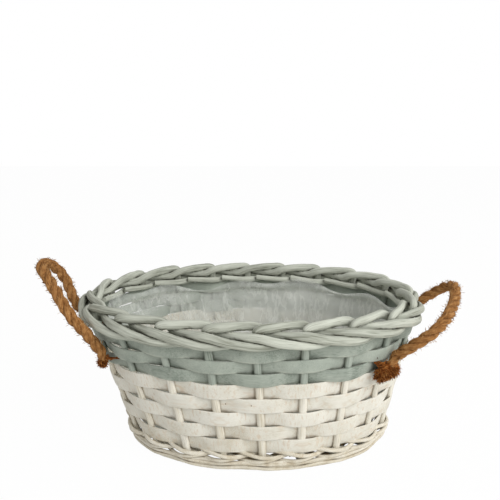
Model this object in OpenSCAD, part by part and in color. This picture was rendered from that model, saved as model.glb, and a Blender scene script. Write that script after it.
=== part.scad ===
// Oval willow basket: bent willow stakes that end in a plaited border, rows of flat
// chip woven round them, round waling at the foot, a woven base, a film liner and two
// rope handles that flop up and down.
// X runs along the basket, -Y is its front, Z is up. The origin is on the surface it
// stands on, under the middle of its overall length.

/* [Wall] */
// Length of the wall's centre line at its top
rim_l = 280; // [250:2:310]
// Width of the wall's centre line at its top
rim_w = 172; // [160:2:190]
// Length of the wall's centre line at its foot
base_l = 224; // [208:2:240]
// Width of the wall's centre line at its foot
base_w = 152; // [144:2:160]
// How far the foot sits towards +X from the rim, because the basket is handmade
lean = 6.2; // [0:0.2:8]

/* [Willow rods] */
// Number of upright stakes, an even number so that every row alternates
stakes = 20; // [20]
// Diameter of a rod in the border
rod_d = 6; // [5.5:0.1:6.2]
// Diameter of a stake in the wall
stake_d = 5.5; // [5:0.1:5.8]
// Diameter of a stake's foot beside its base stick
foot_d = 4.4; // [4:0.1:4.6]
// Length of a stake's foot
foot_l = 30; // [24:1:34]

/* [Chip rows] */
// Number of grey-green rows at the top
green_rows = 3; // [3]
// Number of white rows below them
white_rows = 5; // [5]
// Width of a grey-green chip
green_chip_w = 9.8; // [9:0.1:10.5]
// Width of a white chip
white_chip_w = 12.1; // [11:0.1:13]
// Thickness of a chip
chip_t = 1.2; // [1:0.1:1.4]

/* [Foot and base] */
// Diameter of a waling rod
wale_d = 3.5; // [3.2:0.1:3.8]
// Diameter of a round stick that is split to make the base sticks
stick_d = 4.6; // [4.2:0.1:4.8]
// Least gap between one base row and the next
band_gap = 1; // [0.8:0.1:1.6]
// Thickness of a base row
band_t = 2.6; // [2.2:0.1:2.8]
// Number of base rows
bands = 8; // [8]

/* [Liner] */
// Thickness of the film
film_t = 0.4; // [0.3:0.05:0.6]
// How far the film stands in from the wall's centre line
liner_in = 6.4; // [6:0.2:9]
// How far the film's top edge stands in from the wall's centre line
liner_rim_in = 12.5; // [12:0.5:16]
// How far the film stands up above the chip
liner_rise = 8; // [2:1:12]

/* [Rope handles] */
// Diameter of the rope
rope_d = 9.5; // [9:0.5:11.5]
// How far the left loop reaches out from its pivots
left_loop_h = 75; // [60:1:80]
// How far the right loop reaches out from its pivots
right_loop_h = 60; // [55:1:80]
// How far the left loop stands above level
left_loop_tilt = 52; // [20:1:52]
// How far the right loop stands above level
right_loop_tilt = 38; // [20:1:52]

/* [Hidden] */

// Play between a woven strip or rod and the stake that it passes
weave_gap = 0.25;
// Gap between one row and the next
row_gap = 0.3;
// Gap between the liner or a rope and the willow that it lies on
seat_gap = 0.3;
// Gap between one base stick and the next at the slath
stick_gap = 0.8;
// Gap between a stake's foot and its base stick
foot_gap = 0.5;
// Play between a waling rod and a stake
wale_gap = 0.45;
// The base is made of this many long and short sticks, whose ends add up to the stakes
long_sticks = 3;
short_sticks = 7;

// Squareness of the oval at the top and at the foot: 2 is an ellipse
rim_square = 2.15;
base_square = 2.2;
// Stake 1 stands this share of a pitch past the +X end
phase_share = 0.1;

green = [0.60, 0.65, 0.62];
grey = [0.66, 0.69, 0.65];
white = [0.90, 0.88, 0.83];
bare = [0.78, 0.68, 0.52];
film = [0.90, 0.94, 0.95, 0.35];
rope = [0.62, 0.42, 0.22];

// Plain vector helps
function unit(v) = v / norm(v);
function signed_power(v, e) = sign(v) * pow(abs(v), e);
function mix(a, b, share) = a + (b - a) * share;

// A rounded oval, and the angle on it for a place counted in stake pitches
function oval(a, b, square, t) =
    [a * signed_power(cos(t), 2 / square), b * signed_power(sin(t), 2 / square), 0];
function rim_at(t) = oval(rim_l / 2, rim_w / 2, rim_square, t);
function base_at(t) = oval(base_l / 2, base_w / 2, base_square, t) + [lean, 0, 0];
oval_steps = 360;
rim_steps = [for (i = [0:oval_steps]) rim_at(360 * i / oval_steps)];
rim_lengths = [
    for (i = 0, s = 0; i <= oval_steps;
         i = i + 1, s = s + (i <= oval_steps ? norm(rim_steps[i] - rim_steps[i - 1]) : 0)) s
];
pitch = rim_lengths[oval_steps] / stakes;
angle_table = [for (i = [0:oval_steps]) [rim_lengths[i] / pitch, 360 * i / oval_steps]];
function wrap(u) = u - stakes * floor(u / stakes);
function angle_at(u) = lookup(wrap(u), angle_table);
function stake_u(k) = k + phase_share;

// Heights up the basket, from the floor
base_lift = 0.25;
wale_sides = 5;
foot_z = base_lift + band_t + stick_d / 2 + weave_gap;
wale_z = [
    for (i = 0, z = wale_d / 2 * cos(180 / wale_sides); i < 4; i = i + 1,
         z = (i == 2 ? max(z, foot_z + foot_d / 2 - wale_d / 2) : z) + wale_d + row_gap) z
];
chip_foot = wale_z[3] + wale_d / 2 + row_gap;
rows = green_rows + white_rows;
function chip_w(row) = row <= green_rows ? green_chip_w : white_chip_w;
function chip_low(row) = row >= rows ? chip_foot : chip_low(row + 1) + chip_w(row + 1) + row_gap;
wall_h = chip_low(1) + green_chip_w;

// The wall is ruled from the foot oval to the rim oval
function wall_dir(t) = rim_at(t) - base_at(t) + [0, 0, wall_h];
function on_wall(u, z) =
    let (t = angle_at(u)) base_at(t) + wall_dir(t) * z / wall_h;
normal_span_share = 0.2;
function along(u, z) = unit(on_wall(u + normal_span_share, z) - on_wall(u - normal_span_share, z));
function outward(u, z) = unit(cross(along(u, z), wall_dir(angle_at(u))));
function level_outward(u, z) = unit(cross(along(u, z), [0, 0, 1]));
function wall_point(u, z, out) = on_wall(u, z) + outward(u, z) * out;

// Skins: rings of points, joined round and along
function skin_faces(n, m, closed) = [
    for (i = [0:(closed ? n : n - 1) - 1], j = [0:m - 1])
        let (a = i * m + j, b = i * m + (j + 1) % m, k = (i + 1) % n * m)
        each [[a, k + j, b], [b, k + j, k + (j + 1) % m]],
    for (j = [1:m - 2]) if (!closed)
        each [[0, j, j + 1], [(n - 1) * m, (n - 1) * m + j + 1, (n - 1) * m + j]]
];
module skin(rings, closed = false) {
    polyhedron(points = [for (r = rings) each r],
        faces = skin_faces(len(rings), len(rings[0]), closed));
}

// Tubes: a path, a radius at each point, and a frame carried along without twist
function tangent(path, i) =
    unit(path[min(i + 1, len(path) - 1)] - path[max(i - 1, 0)]);
function square_to(v, t) = unit(v - (v * t) * t);
function side_dirs(path) = [
    for (i = 0, s = square_to(path_side(path), tangent(path, 0)); i < len(path); i = i + 1,
         s = i < len(path) ? square_to(s, tangent(path, i)) : s) s
];
function path_side(path) = let (t = tangent(path, 0)) abs(t[2]) > 0.7 ? [t[1], -t[0] + 1, 0] : [0, 0, 1];
function tube_rings(path, radii, sides) =
    let (dirs = side_dirs(path))
    [for (i = [0:len(path) - 1])
        let (t = tangent(path, i), s = dirs[i], w = cross(t, s))
        [for (j = [0:sides - 1])
            path[i] + radii[i] * (cos(360 * j / sides) * s + sin(360 * j / sides) * w)]];
module tube(path, radii, sides) {
    skin(tube_rings(path, radii, sides));
}

// A smooth line through control points, with the given number of steps in each span
function spline_point(p0, p1, p2, p3, s) =
    0.5 * (2 * p1 + (p2 - p0) * s + (2 * p0 - 5 * p1 + 4 * p2 - p3) * s * s
        + (3 * p1 - p0 - 3 * p2 + p3) * s * s * s);
function spline(points, steps) = let (last = len(points) - 1) [
    for (i = [0:last - 1], j = [0:steps - 1])
        spline_point(points[max(i - 1, 0)], points[i], points[i + 1], points[min(i + 2, last)], j / steps),
    points[last]
];

// Willow stakes. Each is one rod: foot, elbow, wall, then its own path in the border.
// Border path: pitches along, rod diameters out, rod diameters up, thickness share
border_shares = [
    [0, 0, 2.15, 0.95],
    [0.10, -0.05, 2.65, 1],
    [0.5, -0.45, 2.8, 1],
    [1, -1.15, 2.3, 1],
    [1.25, -0.75, 1.7, 1],
    [1.5, -0.1, 1.6, 1],
    [2, 1.15, 1.85, 1],
    [2.5, 1.25, 1.15, 1],
    [3, 1.15, 0.65, 0.95],
    [3.5, 0.15, 0.55, 0.9],
    [4, -1.12, 0.6, 0.82],
    [4.4, -1.2, 0.78, 0.77],
    [4.75, -1.26, 1.03, 0.72]
];
rod_sides = 6;
elbow_r = 4;
elbow_shares = [0.3, 0.3];
function border_point(u, share) =
    on_wall(u + share[0], wall_h) + level_outward(u + share[0], wall_h) * share[1] * rod_d
    + [0, 0, share[2] * rod_d];
// A foot and its base stick run side by side
foot_side = (foot_d + stick_d) / 2 + foot_gap;
function stake_foot(k) = on_wall(stake_u(k), foot_z);
function turned(v, a) = [v[0] * cos(a) - v[1] * sin(a), v[0] * sin(a) + v[1] * cos(a), 0];
function ray_out(k) =
    let (v = stake_foot(k) - slath_point(k)) turned(unit(v), -asin(foot_side / norm(v)));
function ray_l(k) = (stake_foot(k) - slath_point(k)) * ray_out(k);
function stake_path(k) =
    let (u = stake_u(k), elbow = stake_foot(k), inner = -ray_out(k), up = unit(wall_dir(angle_at(u))))
    concat(
        [
            elbow + inner * foot_l,
            elbow + inner * elbow_r,
            elbow + inner * elbow_r * elbow_shares[0] + up * elbow_r * elbow_shares[1],
            elbow + up * elbow_r,
            on_wall(u, wall_h + row_gap)
        ],
        [for (s = border_shares) border_point(u, s)]);
stake_radii = concat(
    [foot_d, foot_d, foot_d, stake_d, stake_d] / 2,
    [for (s = border_shares) s[3] * rod_d / 2]);
module stake(k) {
    color(bare) tube(stake_path(k), stake_radii, rod_sides);
}

// Chip rows, each a closed hoop that passes alternate stakes on alternate sides
chip_stations = 3;
chip_out = stake_d / 2 + chip_t / 2 + weave_gap;
function row_side(row) = row % 2 == 0 ? 1 : -1;
function chip_offset(row, v) = row_side(row) * chip_out * cos(180 * v);
module chip_row(row) {
    low = chip_low(row);
    high = low + chip_w(row);
    color(row <= green_rows ? green : white) skin([
        for (i = [0:stakes * chip_stations - 1])
            let (v = i / chip_stations, u = stake_u(v), out = chip_offset(row, v))
            [
                wall_point(u, low, out + chip_t / 2), wall_point(u, low, out - chip_t / 2),
                wall_point(u, high, out - chip_t / 2), wall_point(u, high, out + chip_t / 2)
            ]
    ], closed = true);
}

// Waling: the two lower rows lie outside the feet, the two upper ones are woven
wale_stations = 2;
// Half a side round, so that a flat side lies on the floor
wale_turn_share = 0.5;
wale_out = stake_d / 2 + wale_d / 2 + wale_gap;
wale_dip_share = 0.25;
// The two lower rows tuck in round the elbows of the stakes
elbow_tuck = 1;
function wale_offset(row, v) = row > 2
    ? (row == 3 ? 1 : -1) * wale_out * cos(180 * v)
    : (wale_out - elbow_tuck) * (1 - wale_dip_share * pow(sin(180 * v), 2));
module waling_row(row) {
    z = wale_z[row - 1];
    color(white) skin([
        for (i = [0:stakes * wale_stations - 1])
            let (v = i / wale_stations, u = stake_u(v), out = level_outward(u, z),
                centre = on_wall(u, z) + out * wale_offset(row, v))
            [for (j = [0:wale_sides - 1])
                let (a = -90 + 360 * (j + wale_turn_share) / wale_sides)
                centre + wale_d / 2 * (-cos(a) * out + sin(a) * [0, 0, 1])]
    ], closed = true);
}

// Base: seven short sticks cross three long ones at the slath, then all fan out to the
// foot, and the rows are woven round them. Stick ends are counted as the stakes are.
slath_share = 0.32;
fan_share = 0.05;
slath_l = base_l * slath_share;
fan_out = base_l * fan_share;
slath_pitch = stick_d + stick_gap;
half_bundle = (long_sticks - 1) / 2;
half_shorts = (short_sticks - 1) / 2;
function end_x(k) = (k + half_bundle + 1 - floor((k + half_bundle) / (stakes / 2)) * stakes / 2);
// Ends 19, 0, 1 and 9, 10, 11 are the long sticks; the others are the short ones
function quarter(k) = floor((k + half_bundle) / (stakes / 2)) % 2 == 0 ? 1 : -1;
function is_long(k) = end_x(k) <= long_sticks;
slath_edge = slath_pitch * half_bundle + stick_d / 2 + stick_gap;
function slath_point(k) = let (i = end_x(k), way = quarter(k))
    (is_long(k)
        ? [(slath_l / 2 + fan_out) * way, (i - half_bundle - 1) * slath_pitch * way, 0]
        : [(half_shorts - (i - long_sticks - 1)) / half_shorts * slath_l / 2 * way, slath_edge * way, 0])
    + [lean, 0, foot_z];
base_edge_in = wale_out + wale_d / 2 + row_gap;
// A row is two thin rods side by side, as wide as the room along the base and across it lets it be
first_row_out = 2.6;
band_room = min(base_w / 2 - slath_edge, base_l / 2 - slath_l / 2 - fan_out) - base_edge_in - first_row_out;
band_w = band_room / bands - band_gap;
function ray_slant(k) = abs(ray_out(k) * level_outward(stake_u(k), foot_z));
function ray_point(k, in) = slath_point(k) + ray_out(k) * (ray_l(k) - in / ray_slant(k));
stick_facets = 6;
// Half-round stick: half is 1 above the middle plane, -1 below it
module half_round_stick(path, half) {
    skin([
        for (i = [0:len(path) - 1])
            let (t = tangent(path, i), side = unit(cross([0, 0, 1], t)))
            [for (j = [0:stick_facets - 1])
                let (a = 180 * j / (stick_facets - 1))
                path[i] + half * (stick_d / 2) * (cos(a) * side + sin(a) * [0, 0, 1])]
    ]);
}
module base_stick(k_from, k_to, half) {
    color(bare) translate([0, 0, half * weave_gap / 2]) half_round_stick([
        ray_point(k_from, base_edge_in), slath_point(k_from),
        slath_point(k_to), ray_point(k_to, base_edge_in)
    ], half);
}
module long_base_sticks() {
    for (i = [0:long_sticks - 1])
        base_stick(i - half_bundle, stakes / 2 + half_bundle - i, -1);
}
module short_base_sticks() {
    for (i = [0:short_sticks - 1])
        base_stick(i + half_bundle + 1, stakes - half_bundle - 1 - i, 1);
}
band_out = stick_d / 2 + band_t / 2 + weave_gap;
// The first rows go round three long stick ends as one
bundle_rows = 2;
function pass_side(row, k) = row_side(row) * (row <= bundle_rows
    ? (is_long(k) ? 1 : row_side(end_x(k) - long_sticks))
    : row_side(k));
// The first row is a single rod, and the others are two rods side by side
single_rod_share = 0.48;
function row_w(row) = row == 1 ? band_w * single_rod_share : band_w;
// Row centre over a stick end: share 0 is the first row and 1 is the last one
function band_point(row, k) = mix(
    slath_point(k) + ray_out(k) * (band_w / 2 + first_row_out),
    ray_point(k, base_edge_in + band_w / 2),
    (row - 1) / (bands - 1));
// Each pass is flat over the stick, and over the foot beside it in the outer rows
stick_pass_share = 0.42;
foot_pass_shares = [0.4, 0.25];
stick_pass = [-stick_d, stick_d] * stick_pass_share;
foot_pass = [-stick_d * foot_pass_shares[0], foot_side + foot_d * foot_pass_shares[1]];
foot_rows = 4;
module base_row(row) {
    color(bare) skin([
        for (k = [0:stakes - 1], s = (row > bands - foot_rows ? foot_pass : stick_pass))
            let (t = unit(band_point(row, (k + 1) % stakes) - band_point(row, (k + stakes - 1) % stakes)),
                side = cross(t, [0, 0, 1]) * row_w(row) / 2, up = [0, 0, band_t / 2],
                centre = band_point(row, k) + t * s / norm(cross(t, ray_out(k)))
                    + [0, 0, pass_side(row, k) * band_out])
            [centre + side - up, centre - side - up, centre - side + up, centre + side + up]
    ], closed = true);
}

// Liner: film laid over the base and up the wall, with shallow folds
liner_z = foot_z + band_out + band_t / 2 + seat_gap;
liner_corner = 5;
liner_folds = 7;
fold_depth = 1;
// Levels: share of the wall's height, share of the way in to the top edge, share of the fold
liner_levels_shares = [[0.45, 0, 1], [0.93, 0.15, 0.8]];
top_fold_shares = [0.5, 0.3];
liner_profile = concat(
    [[liner_z, liner_in + liner_corner, 0], [liner_z + liner_corner, liner_in, 0]],
    [for (s = liner_levels_shares) [s[0] * wall_h, mix(liner_in, liner_rim_in, s[1]), s[2]]],
    [
        [wall_h, liner_rim_in, top_fold_shares[0]],
        [wall_h + liner_rise, liner_rim_in, top_fold_shares[1]]
    ]);
function liner_ring(level, inset) = [
    for (i = [0:stakes * 2 - 1])
        let (u = stake_u(i / 2), z = level[0] + (level == liner_profile[0] ? inset : 0),
            fold = fold_depth * level[2] * (1 + sin(360 * i * liner_folds / (stakes * 2))) / 2)
        on_wall(u, z) - level_outward(u, z) * (level[1] + fold + inset)
];
module liner() {
    color(film) skin([
        for (level = liner_profile) liner_ring(level, 0),
        for (i = [len(liner_profile) - 1:-1:0]) liner_ring(liner_profile[i], film_t)
    ]);
}

// Rope handles. A rope end is tucked up behind chip row 2 and comes out under its lower
// edge as a frayed tuft; the loop turns about the line through its two pivots.
tuck_z = chip_low(2);
// How far the pivots are over the chip's lower edge
pivot_rise = 3.5;
pivot_z = tuck_z + pivot_rise;
rope_r = rope_d / 2;
// Room between the wall's centre line and a rope at its pivots
left_pivot_room = 4.1;
right_pivot_room = 3.8;
left_pivot_out = rope_r + left_pivot_room;
right_pivot_out = rope_r + right_pivot_room;
// Places of the tucked ends and of the pivots, as shares of a pitch round the rim
left_front_tuck_share = 11.83;
left_front_pivot_share = 11.5;
left_back_tuck_share = 9.83;
left_back_pivot_share = 9.75;
right_front_tuck_share = 17.83;
right_front_pivot_share = 18.22;
right_back_tuck_share = 0.37;
right_back_pivot_share = 0.8;
// Each side's tufts: share of the way from the tuck to the pivot, width, drop
left_tuft_shares = [1.15, 0.6, 0.6];
right_tuft_shares = [0.55, 1.4, 1.2];
function pivot(u) =
    let (on_left = abs(u - stakes / 2) < stakes / 4,
        out = on_left ? left_pivot_out : right_pivot_out,
        p = wall_point(u, pivot_z, out))
    [p[0], p[1], pivot_z];
// Loop outlines: share of the way between the pivots, then shares of the reach, out and
// up from the loop's plane
left_loop_shares = [
    [0, 0, 0], [0, 0.25, 0.03], [0, 0.43, 0.04], [0.05, 0.59, 0.06], [0.15, 0.75, 0.09],
    [0.3, 0.9, 0.11], [0.48, 1, 0.11], [0.66, 0.99, 0.13], [0.82, 0.91, 0.14], [0.92, 0.79, 0.14],
    [0.96, 0.63, 0.11], [0.95, 0.48, 0.05], [0.95, 0.33, 0], [0.97, 0.16, -0.01], [1, 0, 0]
];
right_loop_shares = [
    [0, 0, 0], [-0.02, 0.16, 0.01], [-0.03, 0.34, 0.02], [-0.01, 0.52, 0.02], [0.06, 0.68, 0.02],
    [0.2, 0.81, 0.01], [0.4, 0.92, 0], [0.62, 0.99, 0], [0.78, 1, 0.01], [0.9, 0.88, 0.01],
    [0.95, 0.7, 0], [0.95, 0.45, 0], [0.97, 0.2, 0], [1, 0, 0]
];
loop_steps = 2;
loop_sides = 8;
// A rounded end: how far back along the rope, and how wide
round_end_shares = [[0.95, 0.3], [0.7, 0.72], [0.3, 0.95]];
function loop_dir(front, back) = unit(pivot(back) - pivot(front));
function loop_out(front, back, tilt) =
    let (out = cross(loop_dir(front, back), [0, 0, 1]), way = sign(out * pivot(front)))
    unit(out) * way * cos(tilt) + [0, 0, sin(tilt)];
function loop_line(front, back, shares, reach, tilt) = spline([
    for (s = shares)
        mix(pivot(front), pivot(back), s[0]) + loop_out(front, back, tilt) * s[1] * reach
        + loop_out(front, back, tilt + 90) * s[2] * reach
], loop_steps);
function rounded_path(line) = let (last = len(line) - 1) concat(
    [for (s = round_end_shares) line[0] - tangent(line, 0) * s[0] * rope_r],
    line,
    [for (i = [len(round_end_shares) - 1:-1:0])
        line[last] + tangent(line, last) * round_end_shares[i][0] * rope_r]);
function rounded_radii(line) = concat(
    [for (s = round_end_shares) s[1] * rope_r],
    [for (p = line) rope_r],
    [for (i = [len(round_end_shares) - 1:-1:0]) round_end_shares[i][1] * rope_r]);
left_line = loop_line(
    left_front_pivot_share, left_back_pivot_share, left_loop_shares, left_loop_h, left_loop_tilt);
right_line = loop_line(
    right_front_pivot_share, right_back_pivot_share, right_loop_shares, right_loop_h, right_loop_tilt);
module rope_loop(line) {
    color(rope) tube(rounded_path(line), rounded_radii(line), loop_sides);
}

// Rope end, from the tuck down to the tuft's tip: share of the way from the tuck to the
// pivot, height over the chip's edge, place out from the wall, half width, half
// thickness, all in rope diameters, and the lean of the section
rope_end_shares = [
    [0, 0.82, 0, 0.2, 0.08, 0],
    [0, 0.02, 0, 0.22, 0.085, 0],
    [0.2, -0.22, 0.14, 0.34, 0.1, 50],
    [0.7, -0.3, 0.52, 0.55, 0.22, 50],
    [1, -0.46, 0.8, 0.8, 0.3, 20],
    [1, -0.72, 0.88, 0.95, 0.36, 0],
    [1, -1, 0.92, 1, 0.34, 0],
    [1, -1.22, 0.94, 1, 0.2, 0]
];
rope_end_sides = 8;
rope_end_square = 2.6;
module rope_end(tuck, pivot_place, tuft) {
    color(rope) skin([
        for (s = rope_end_shares)
            let (u = mix(tuck, pivot_place, s[0] * tuft[0]), wide = mix(1, tuft[1], s[0]),
                z = tuck_z + s[1] * rope_d * mix(1, tuft[2], s[0]),
                side = along(u, z), out = outward(u, z), up = cross(out, side),
                across = cos(s[5]) * out + sin(s[5]) * up)
            [for (j = [0:rope_end_sides - 1])
                let (o = oval(s[3] * rope_d * wide, s[4] * rope_d, rope_end_square,
                    360 * (j + 1 / 2) / rope_end_sides))
                wall_point(u, z, s[2] * rope_d) + o[0] * side + o[1] * across]
    ]);
}

// The origin is under the middle of the overall length, handles included
function reach(line, way) = max([for (p = line) p[0] * way]) + rope_r;
rim_x = (reach(left_line, -1) - reach(right_line, 1)) / 2;

module placed() {
    translate([rim_x, 0, 0]) children();
}

for (k = [0:stakes - 1]) placed() stake(k);
for (row = [1:rows]) placed() chip_row(row);
for (row = [1:4]) placed() waling_row(row);
placed() long_base_sticks();
placed() short_base_sticks();
for (row = [1:bands]) placed() base_row(row);
placed() liner();
placed() rope_loop(left_line);  // left_handle
placed() rope_loop(right_line);  // right_handle
placed()  // left_front_rope_end
    rope_end(left_front_tuck_share, left_front_pivot_share, left_tuft_shares);
placed()  // left_back_rope_end
    rope_end(left_back_tuck_share, left_back_pivot_share, left_tuft_shares);
placed()  // right_front_rope_end
    rope_end(right_front_tuck_share, right_front_pivot_share, right_tuft_shares);
placed()  // right_back_rope_end
    rope_end(right_back_tuck_share, right_back_pivot_share, right_tuft_shares);
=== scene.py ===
# %% [markdown]
# Oval willow basket: the dressed model
#
# The CAD model of the basket is loaded first and gives the frame: every rod, strip and
# rope below is made where its plain solid lies. Then each kind of piece is made again with
# the detail that hands leave in it, such as bark, brushed wash, frayed rope and creased film.

# %% Load the plain model
import math
import bpy
import numpy as np
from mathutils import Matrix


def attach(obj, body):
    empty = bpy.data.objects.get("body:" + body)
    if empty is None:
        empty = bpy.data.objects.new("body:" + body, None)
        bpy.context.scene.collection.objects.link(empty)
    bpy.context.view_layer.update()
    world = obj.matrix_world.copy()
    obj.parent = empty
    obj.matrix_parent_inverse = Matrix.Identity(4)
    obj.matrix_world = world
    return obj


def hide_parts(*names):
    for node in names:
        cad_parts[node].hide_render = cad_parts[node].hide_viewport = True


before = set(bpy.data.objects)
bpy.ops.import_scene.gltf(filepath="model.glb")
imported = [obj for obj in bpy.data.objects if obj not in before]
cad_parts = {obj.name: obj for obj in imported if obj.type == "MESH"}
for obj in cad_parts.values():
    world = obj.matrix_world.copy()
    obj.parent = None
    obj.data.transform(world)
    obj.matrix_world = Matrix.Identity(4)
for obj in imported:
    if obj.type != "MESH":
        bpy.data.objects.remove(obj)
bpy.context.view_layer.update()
scene = bpy.context.scene

# %% [markdown]
# The shape of the wall
#
# A basket like this is worked on a ring of stakes, so every place on it can be told by two
# numbers: how many stakes round from the right end, and how high. The functions below turn
# such a place into a point. They repeat the lengths of the CAD model, in millimetres.

# %% Lengths of the basket and its two ovals
MM = 0.001
RIM_L, RIM_W = 280, 172
BASE_L, BASE_W = 224, 152
LEAN = 6.2
STAKES = 20
PHASE = 0.1
ROD_D, STAKE_D, FOOT_D, FOOT_L = 6, 5.5, 4.4, 30
GREEN_ROWS, ROWS = 3, 8
GREEN_W, WHITE_W, CHIP_T = 9.8, 12.1, 1.2
WALE_D, STICK_D, BAND_T, BANDS = 3.5, 4.6, 2.6, 8
WEAVE_GAP, ROW_GAP, SEAT_GAP = 0.25, 0.3, 0.3
STICK_GAP, FOOT_GAP, WALE_GAP, BAND_GAP = 0.8, 0.5, 0.45, 1


def unit(v):
    v = np.asarray(v, float)
    return v / np.linalg.norm(v)


def oval(a, b, square, t):
    c, s = math.cos(t), math.sin(t)
    x = a * math.copysign(abs(c) ** (2 / square), c)
    y = b * math.copysign(abs(s) ** (2 / square), s)
    return np.array([x, y, 0.0])


def rim_at(t):
    return oval(RIM_L / 2, RIM_W / 2, 2.15, t)


def base_at(t):
    return oval(BASE_L / 2, BASE_W / 2, 2.2, t) + [LEAN, 0, 0]


TURNS = np.radians(np.arange(361))
RIM_STEPS = np.array([rim_at(t) for t in TURNS])
RIM_LENGTHS = np.concatenate([[0], np.cumsum(np.linalg.norm(np.diff(RIM_STEPS, axis=0), axis=1))])
PITCH = RIM_LENGTHS[-1] / STAKES


def angle_at(u):
    return float(np.interp((u % STAKES) * PITCH, RIM_LENGTHS, TURNS))


def stake_u(k):
    return k + PHASE


print("stakes stand", round(PITCH, 1), "mm apart at the rim")

# %% [markdown]
# Heights
#
# The rows are stacked from the floor up: four thin waling rods, five white chips, three
# grey-green ones, and then the border. Each height follows from the ones below it.

# %% Heights of the rows
FOOT_Z = 0.25 + BAND_T + STICK_D / 2 + WEAVE_GAP
WALE_Z = [WALE_D / 2 * math.cos(math.pi / 5)]
for step in range(3):
    floor_z = max(WALE_Z[-1], FOOT_Z + FOOT_D / 2 - WALE_D / 2) if step == 1 else WALE_Z[-1]
    WALE_Z.append(floor_z + WALE_D + ROW_GAP)
CHIP_LOW = {ROWS: WALE_Z[3] + WALE_D / 2 + ROW_GAP}


def chip_w(row):
    return GREEN_W if row <= GREEN_ROWS else WHITE_W


for row in range(ROWS - 1, 0, -1):
    CHIP_LOW[row] = CHIP_LOW[row + 1] + chip_w(row + 1) + ROW_GAP
WALL_H = CHIP_LOW[1] + GREEN_W
GREEN_FROM = CHIP_LOW[GREEN_ROWS] - ROW_GAP / 2
print("wall", round(WALL_H, 1), "mm high, grey-green from", round(GREEN_FROM, 1), "mm")


def wall_dir(t):
    return rim_at(t) - base_at(t) + [0, 0, WALL_H]


def on_wall(u, z):
    t = angle_at(u)
    return base_at(t) + wall_dir(t) * z / WALL_H


def along(u, z):
    return unit(on_wall(u + 0.2, z) - on_wall(u - 0.2, z))


def outward(u, z):
    return unit(np.cross(along(u, z), wall_dir(angle_at(u))))


def level_outward(u, z):
    return unit(np.cross(along(u, z), [0, 0, 1]))


def wall_point(u, z, out):
    return on_wall(u, z) + outward(u, z) * out


# %% [markdown]
# The rope loops' lines
#
# Each handle is one length of coir rope whose ends are tucked into the wall. Its line is a
# smooth curve through a few points, each given as a share of the way between the two ends
# and of the reach. The same rule draws the loop in the CAD model, so both stay together.

# %% Smooth lines and the two loops
ROPE_D = 9.5
TUCK_Z = CHIP_LOW[2]
PIVOT_RISE = 3.5
PIVOT_Z = TUCK_Z + PIVOT_RISE
# Room between the wall and each rope, how far each loop reaches out, and its tilt in degrees
LEFT_ROOM, LEFT_REACH, LEFT_TILT = 4.1, 75, 52
RIGHT_ROOM, RIGHT_REACH, RIGHT_TILT = 3.8, 60, 38
# Where each end is tucked in, in stakes round the wall, and where its rope turns
LEFT_TUCKS = {"front": (11.83, 11.5), "back": (9.83, 9.75)}
RIGHT_TUCKS = {"front": (17.83, 18.22), "back": (0.37, 0.8)}
# Each tuft: share of the way from tuck to turn, its width and its height
LEFT_TUFT = (1.3, 0.34, 0.62)
RIGHT_TUFT = (0.5, 1.35, 0.95)
LEFT_LOOP = [
    [0, 0, 0], [0, 0.25, 0.03], [0, 0.43, 0.04], [0.05, 0.59, 0.06], [0.15, 0.75, 0.09],
    [0.3, 0.9, 0.11], [0.48, 1, 0.11], [0.66, 0.99, 0.13], [0.82, 0.91, 0.14], [0.92, 0.79, 0.14],
    [0.96, 0.63, 0.11], [0.95, 0.48, 0.05], [0.95, 0.33, 0], [0.97, 0.16, -0.01], [1, 0, 0],
]
RIGHT_LOOP = [
    [0, 0, 0], [-0.02, 0.16, 0.01], [-0.03, 0.34, 0.02], [-0.01, 0.52, 0.02], [0.06, 0.68, 0.02],
    [0.2, 0.81, 0.01], [0.4, 0.92, 0], [0.62, 0.99, 0], [0.78, 1, 0.01], [0.9, 0.88, 0.01],
    [0.95, 0.7, 0], [0.95, 0.45, 0], [0.97, 0.2, 0], [1, 0, 0],
]


def even_spline(points, steps):
    p = np.asarray(points, float)
    last = len(p) - 1
    line = []
    for i in range(last):
        a, b, c, d = p[max(i - 1, 0)], p[i], p[i + 1], p[min(i + 2, last)]
        for s in np.arange(steps) / steps:
            bend = (2 * a - 5 * b + 4 * c - d) * s * s + (3 * b - a - 3 * c + d) * s ** 3
            line.append(0.5 * (2 * b + (c - a) * s + bend))
    return np.array(line + [p[last]])


def pivot(u, out):
    p = wall_point(u, PIVOT_Z, out)
    return np.array([p[0], p[1], PIVOT_Z])


def loop_line(tucks, room, shares, reach, tilt):
    front, back = [pivot(tucks[end][1], ROPE_D / 2 + room) for end in ("front", "back")]
    across = unit(back - front)
    out = np.cross(across, [0, 0, 1])
    out = unit(out) * math.copysign(1, out @ front)
    tilt = math.radians(tilt)
    flat = out * math.cos(tilt) + np.array([0, 0, math.sin(tilt)])
    rise = -out * math.sin(tilt) + np.array([0, 0, math.cos(tilt)])
    spots = [front + (back - front) * s[0] + flat * s[1] * reach + rise * s[2] * reach for s in shares]
    return even_spline(spots, 8)


def line_length(line):
    return float(np.linalg.norm(np.diff(line, axis=0), axis=1).sum())


left_line = loop_line(LEFT_TUCKS, LEFT_ROOM, LEFT_LOOP, LEFT_REACH, LEFT_TILT)
right_line = loop_line(RIGHT_TUCKS, RIGHT_ROOM, RIGHT_LOOP, RIGHT_REACH, RIGHT_TILT)
# The CAD model's loops have two steps to a span, and its origin is under the middle of those
RIM_X = (-left_line[::4, 0].min() - right_line[::4, 0].max()) / 2
SHIFT = np.array([RIM_X, 0, 0])
print("rim stands", round(RIM_X, 3), "mm off the middle; loops are",
      [round(line_length(line)) for line in (left_line, right_line)], "mm long")

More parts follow.
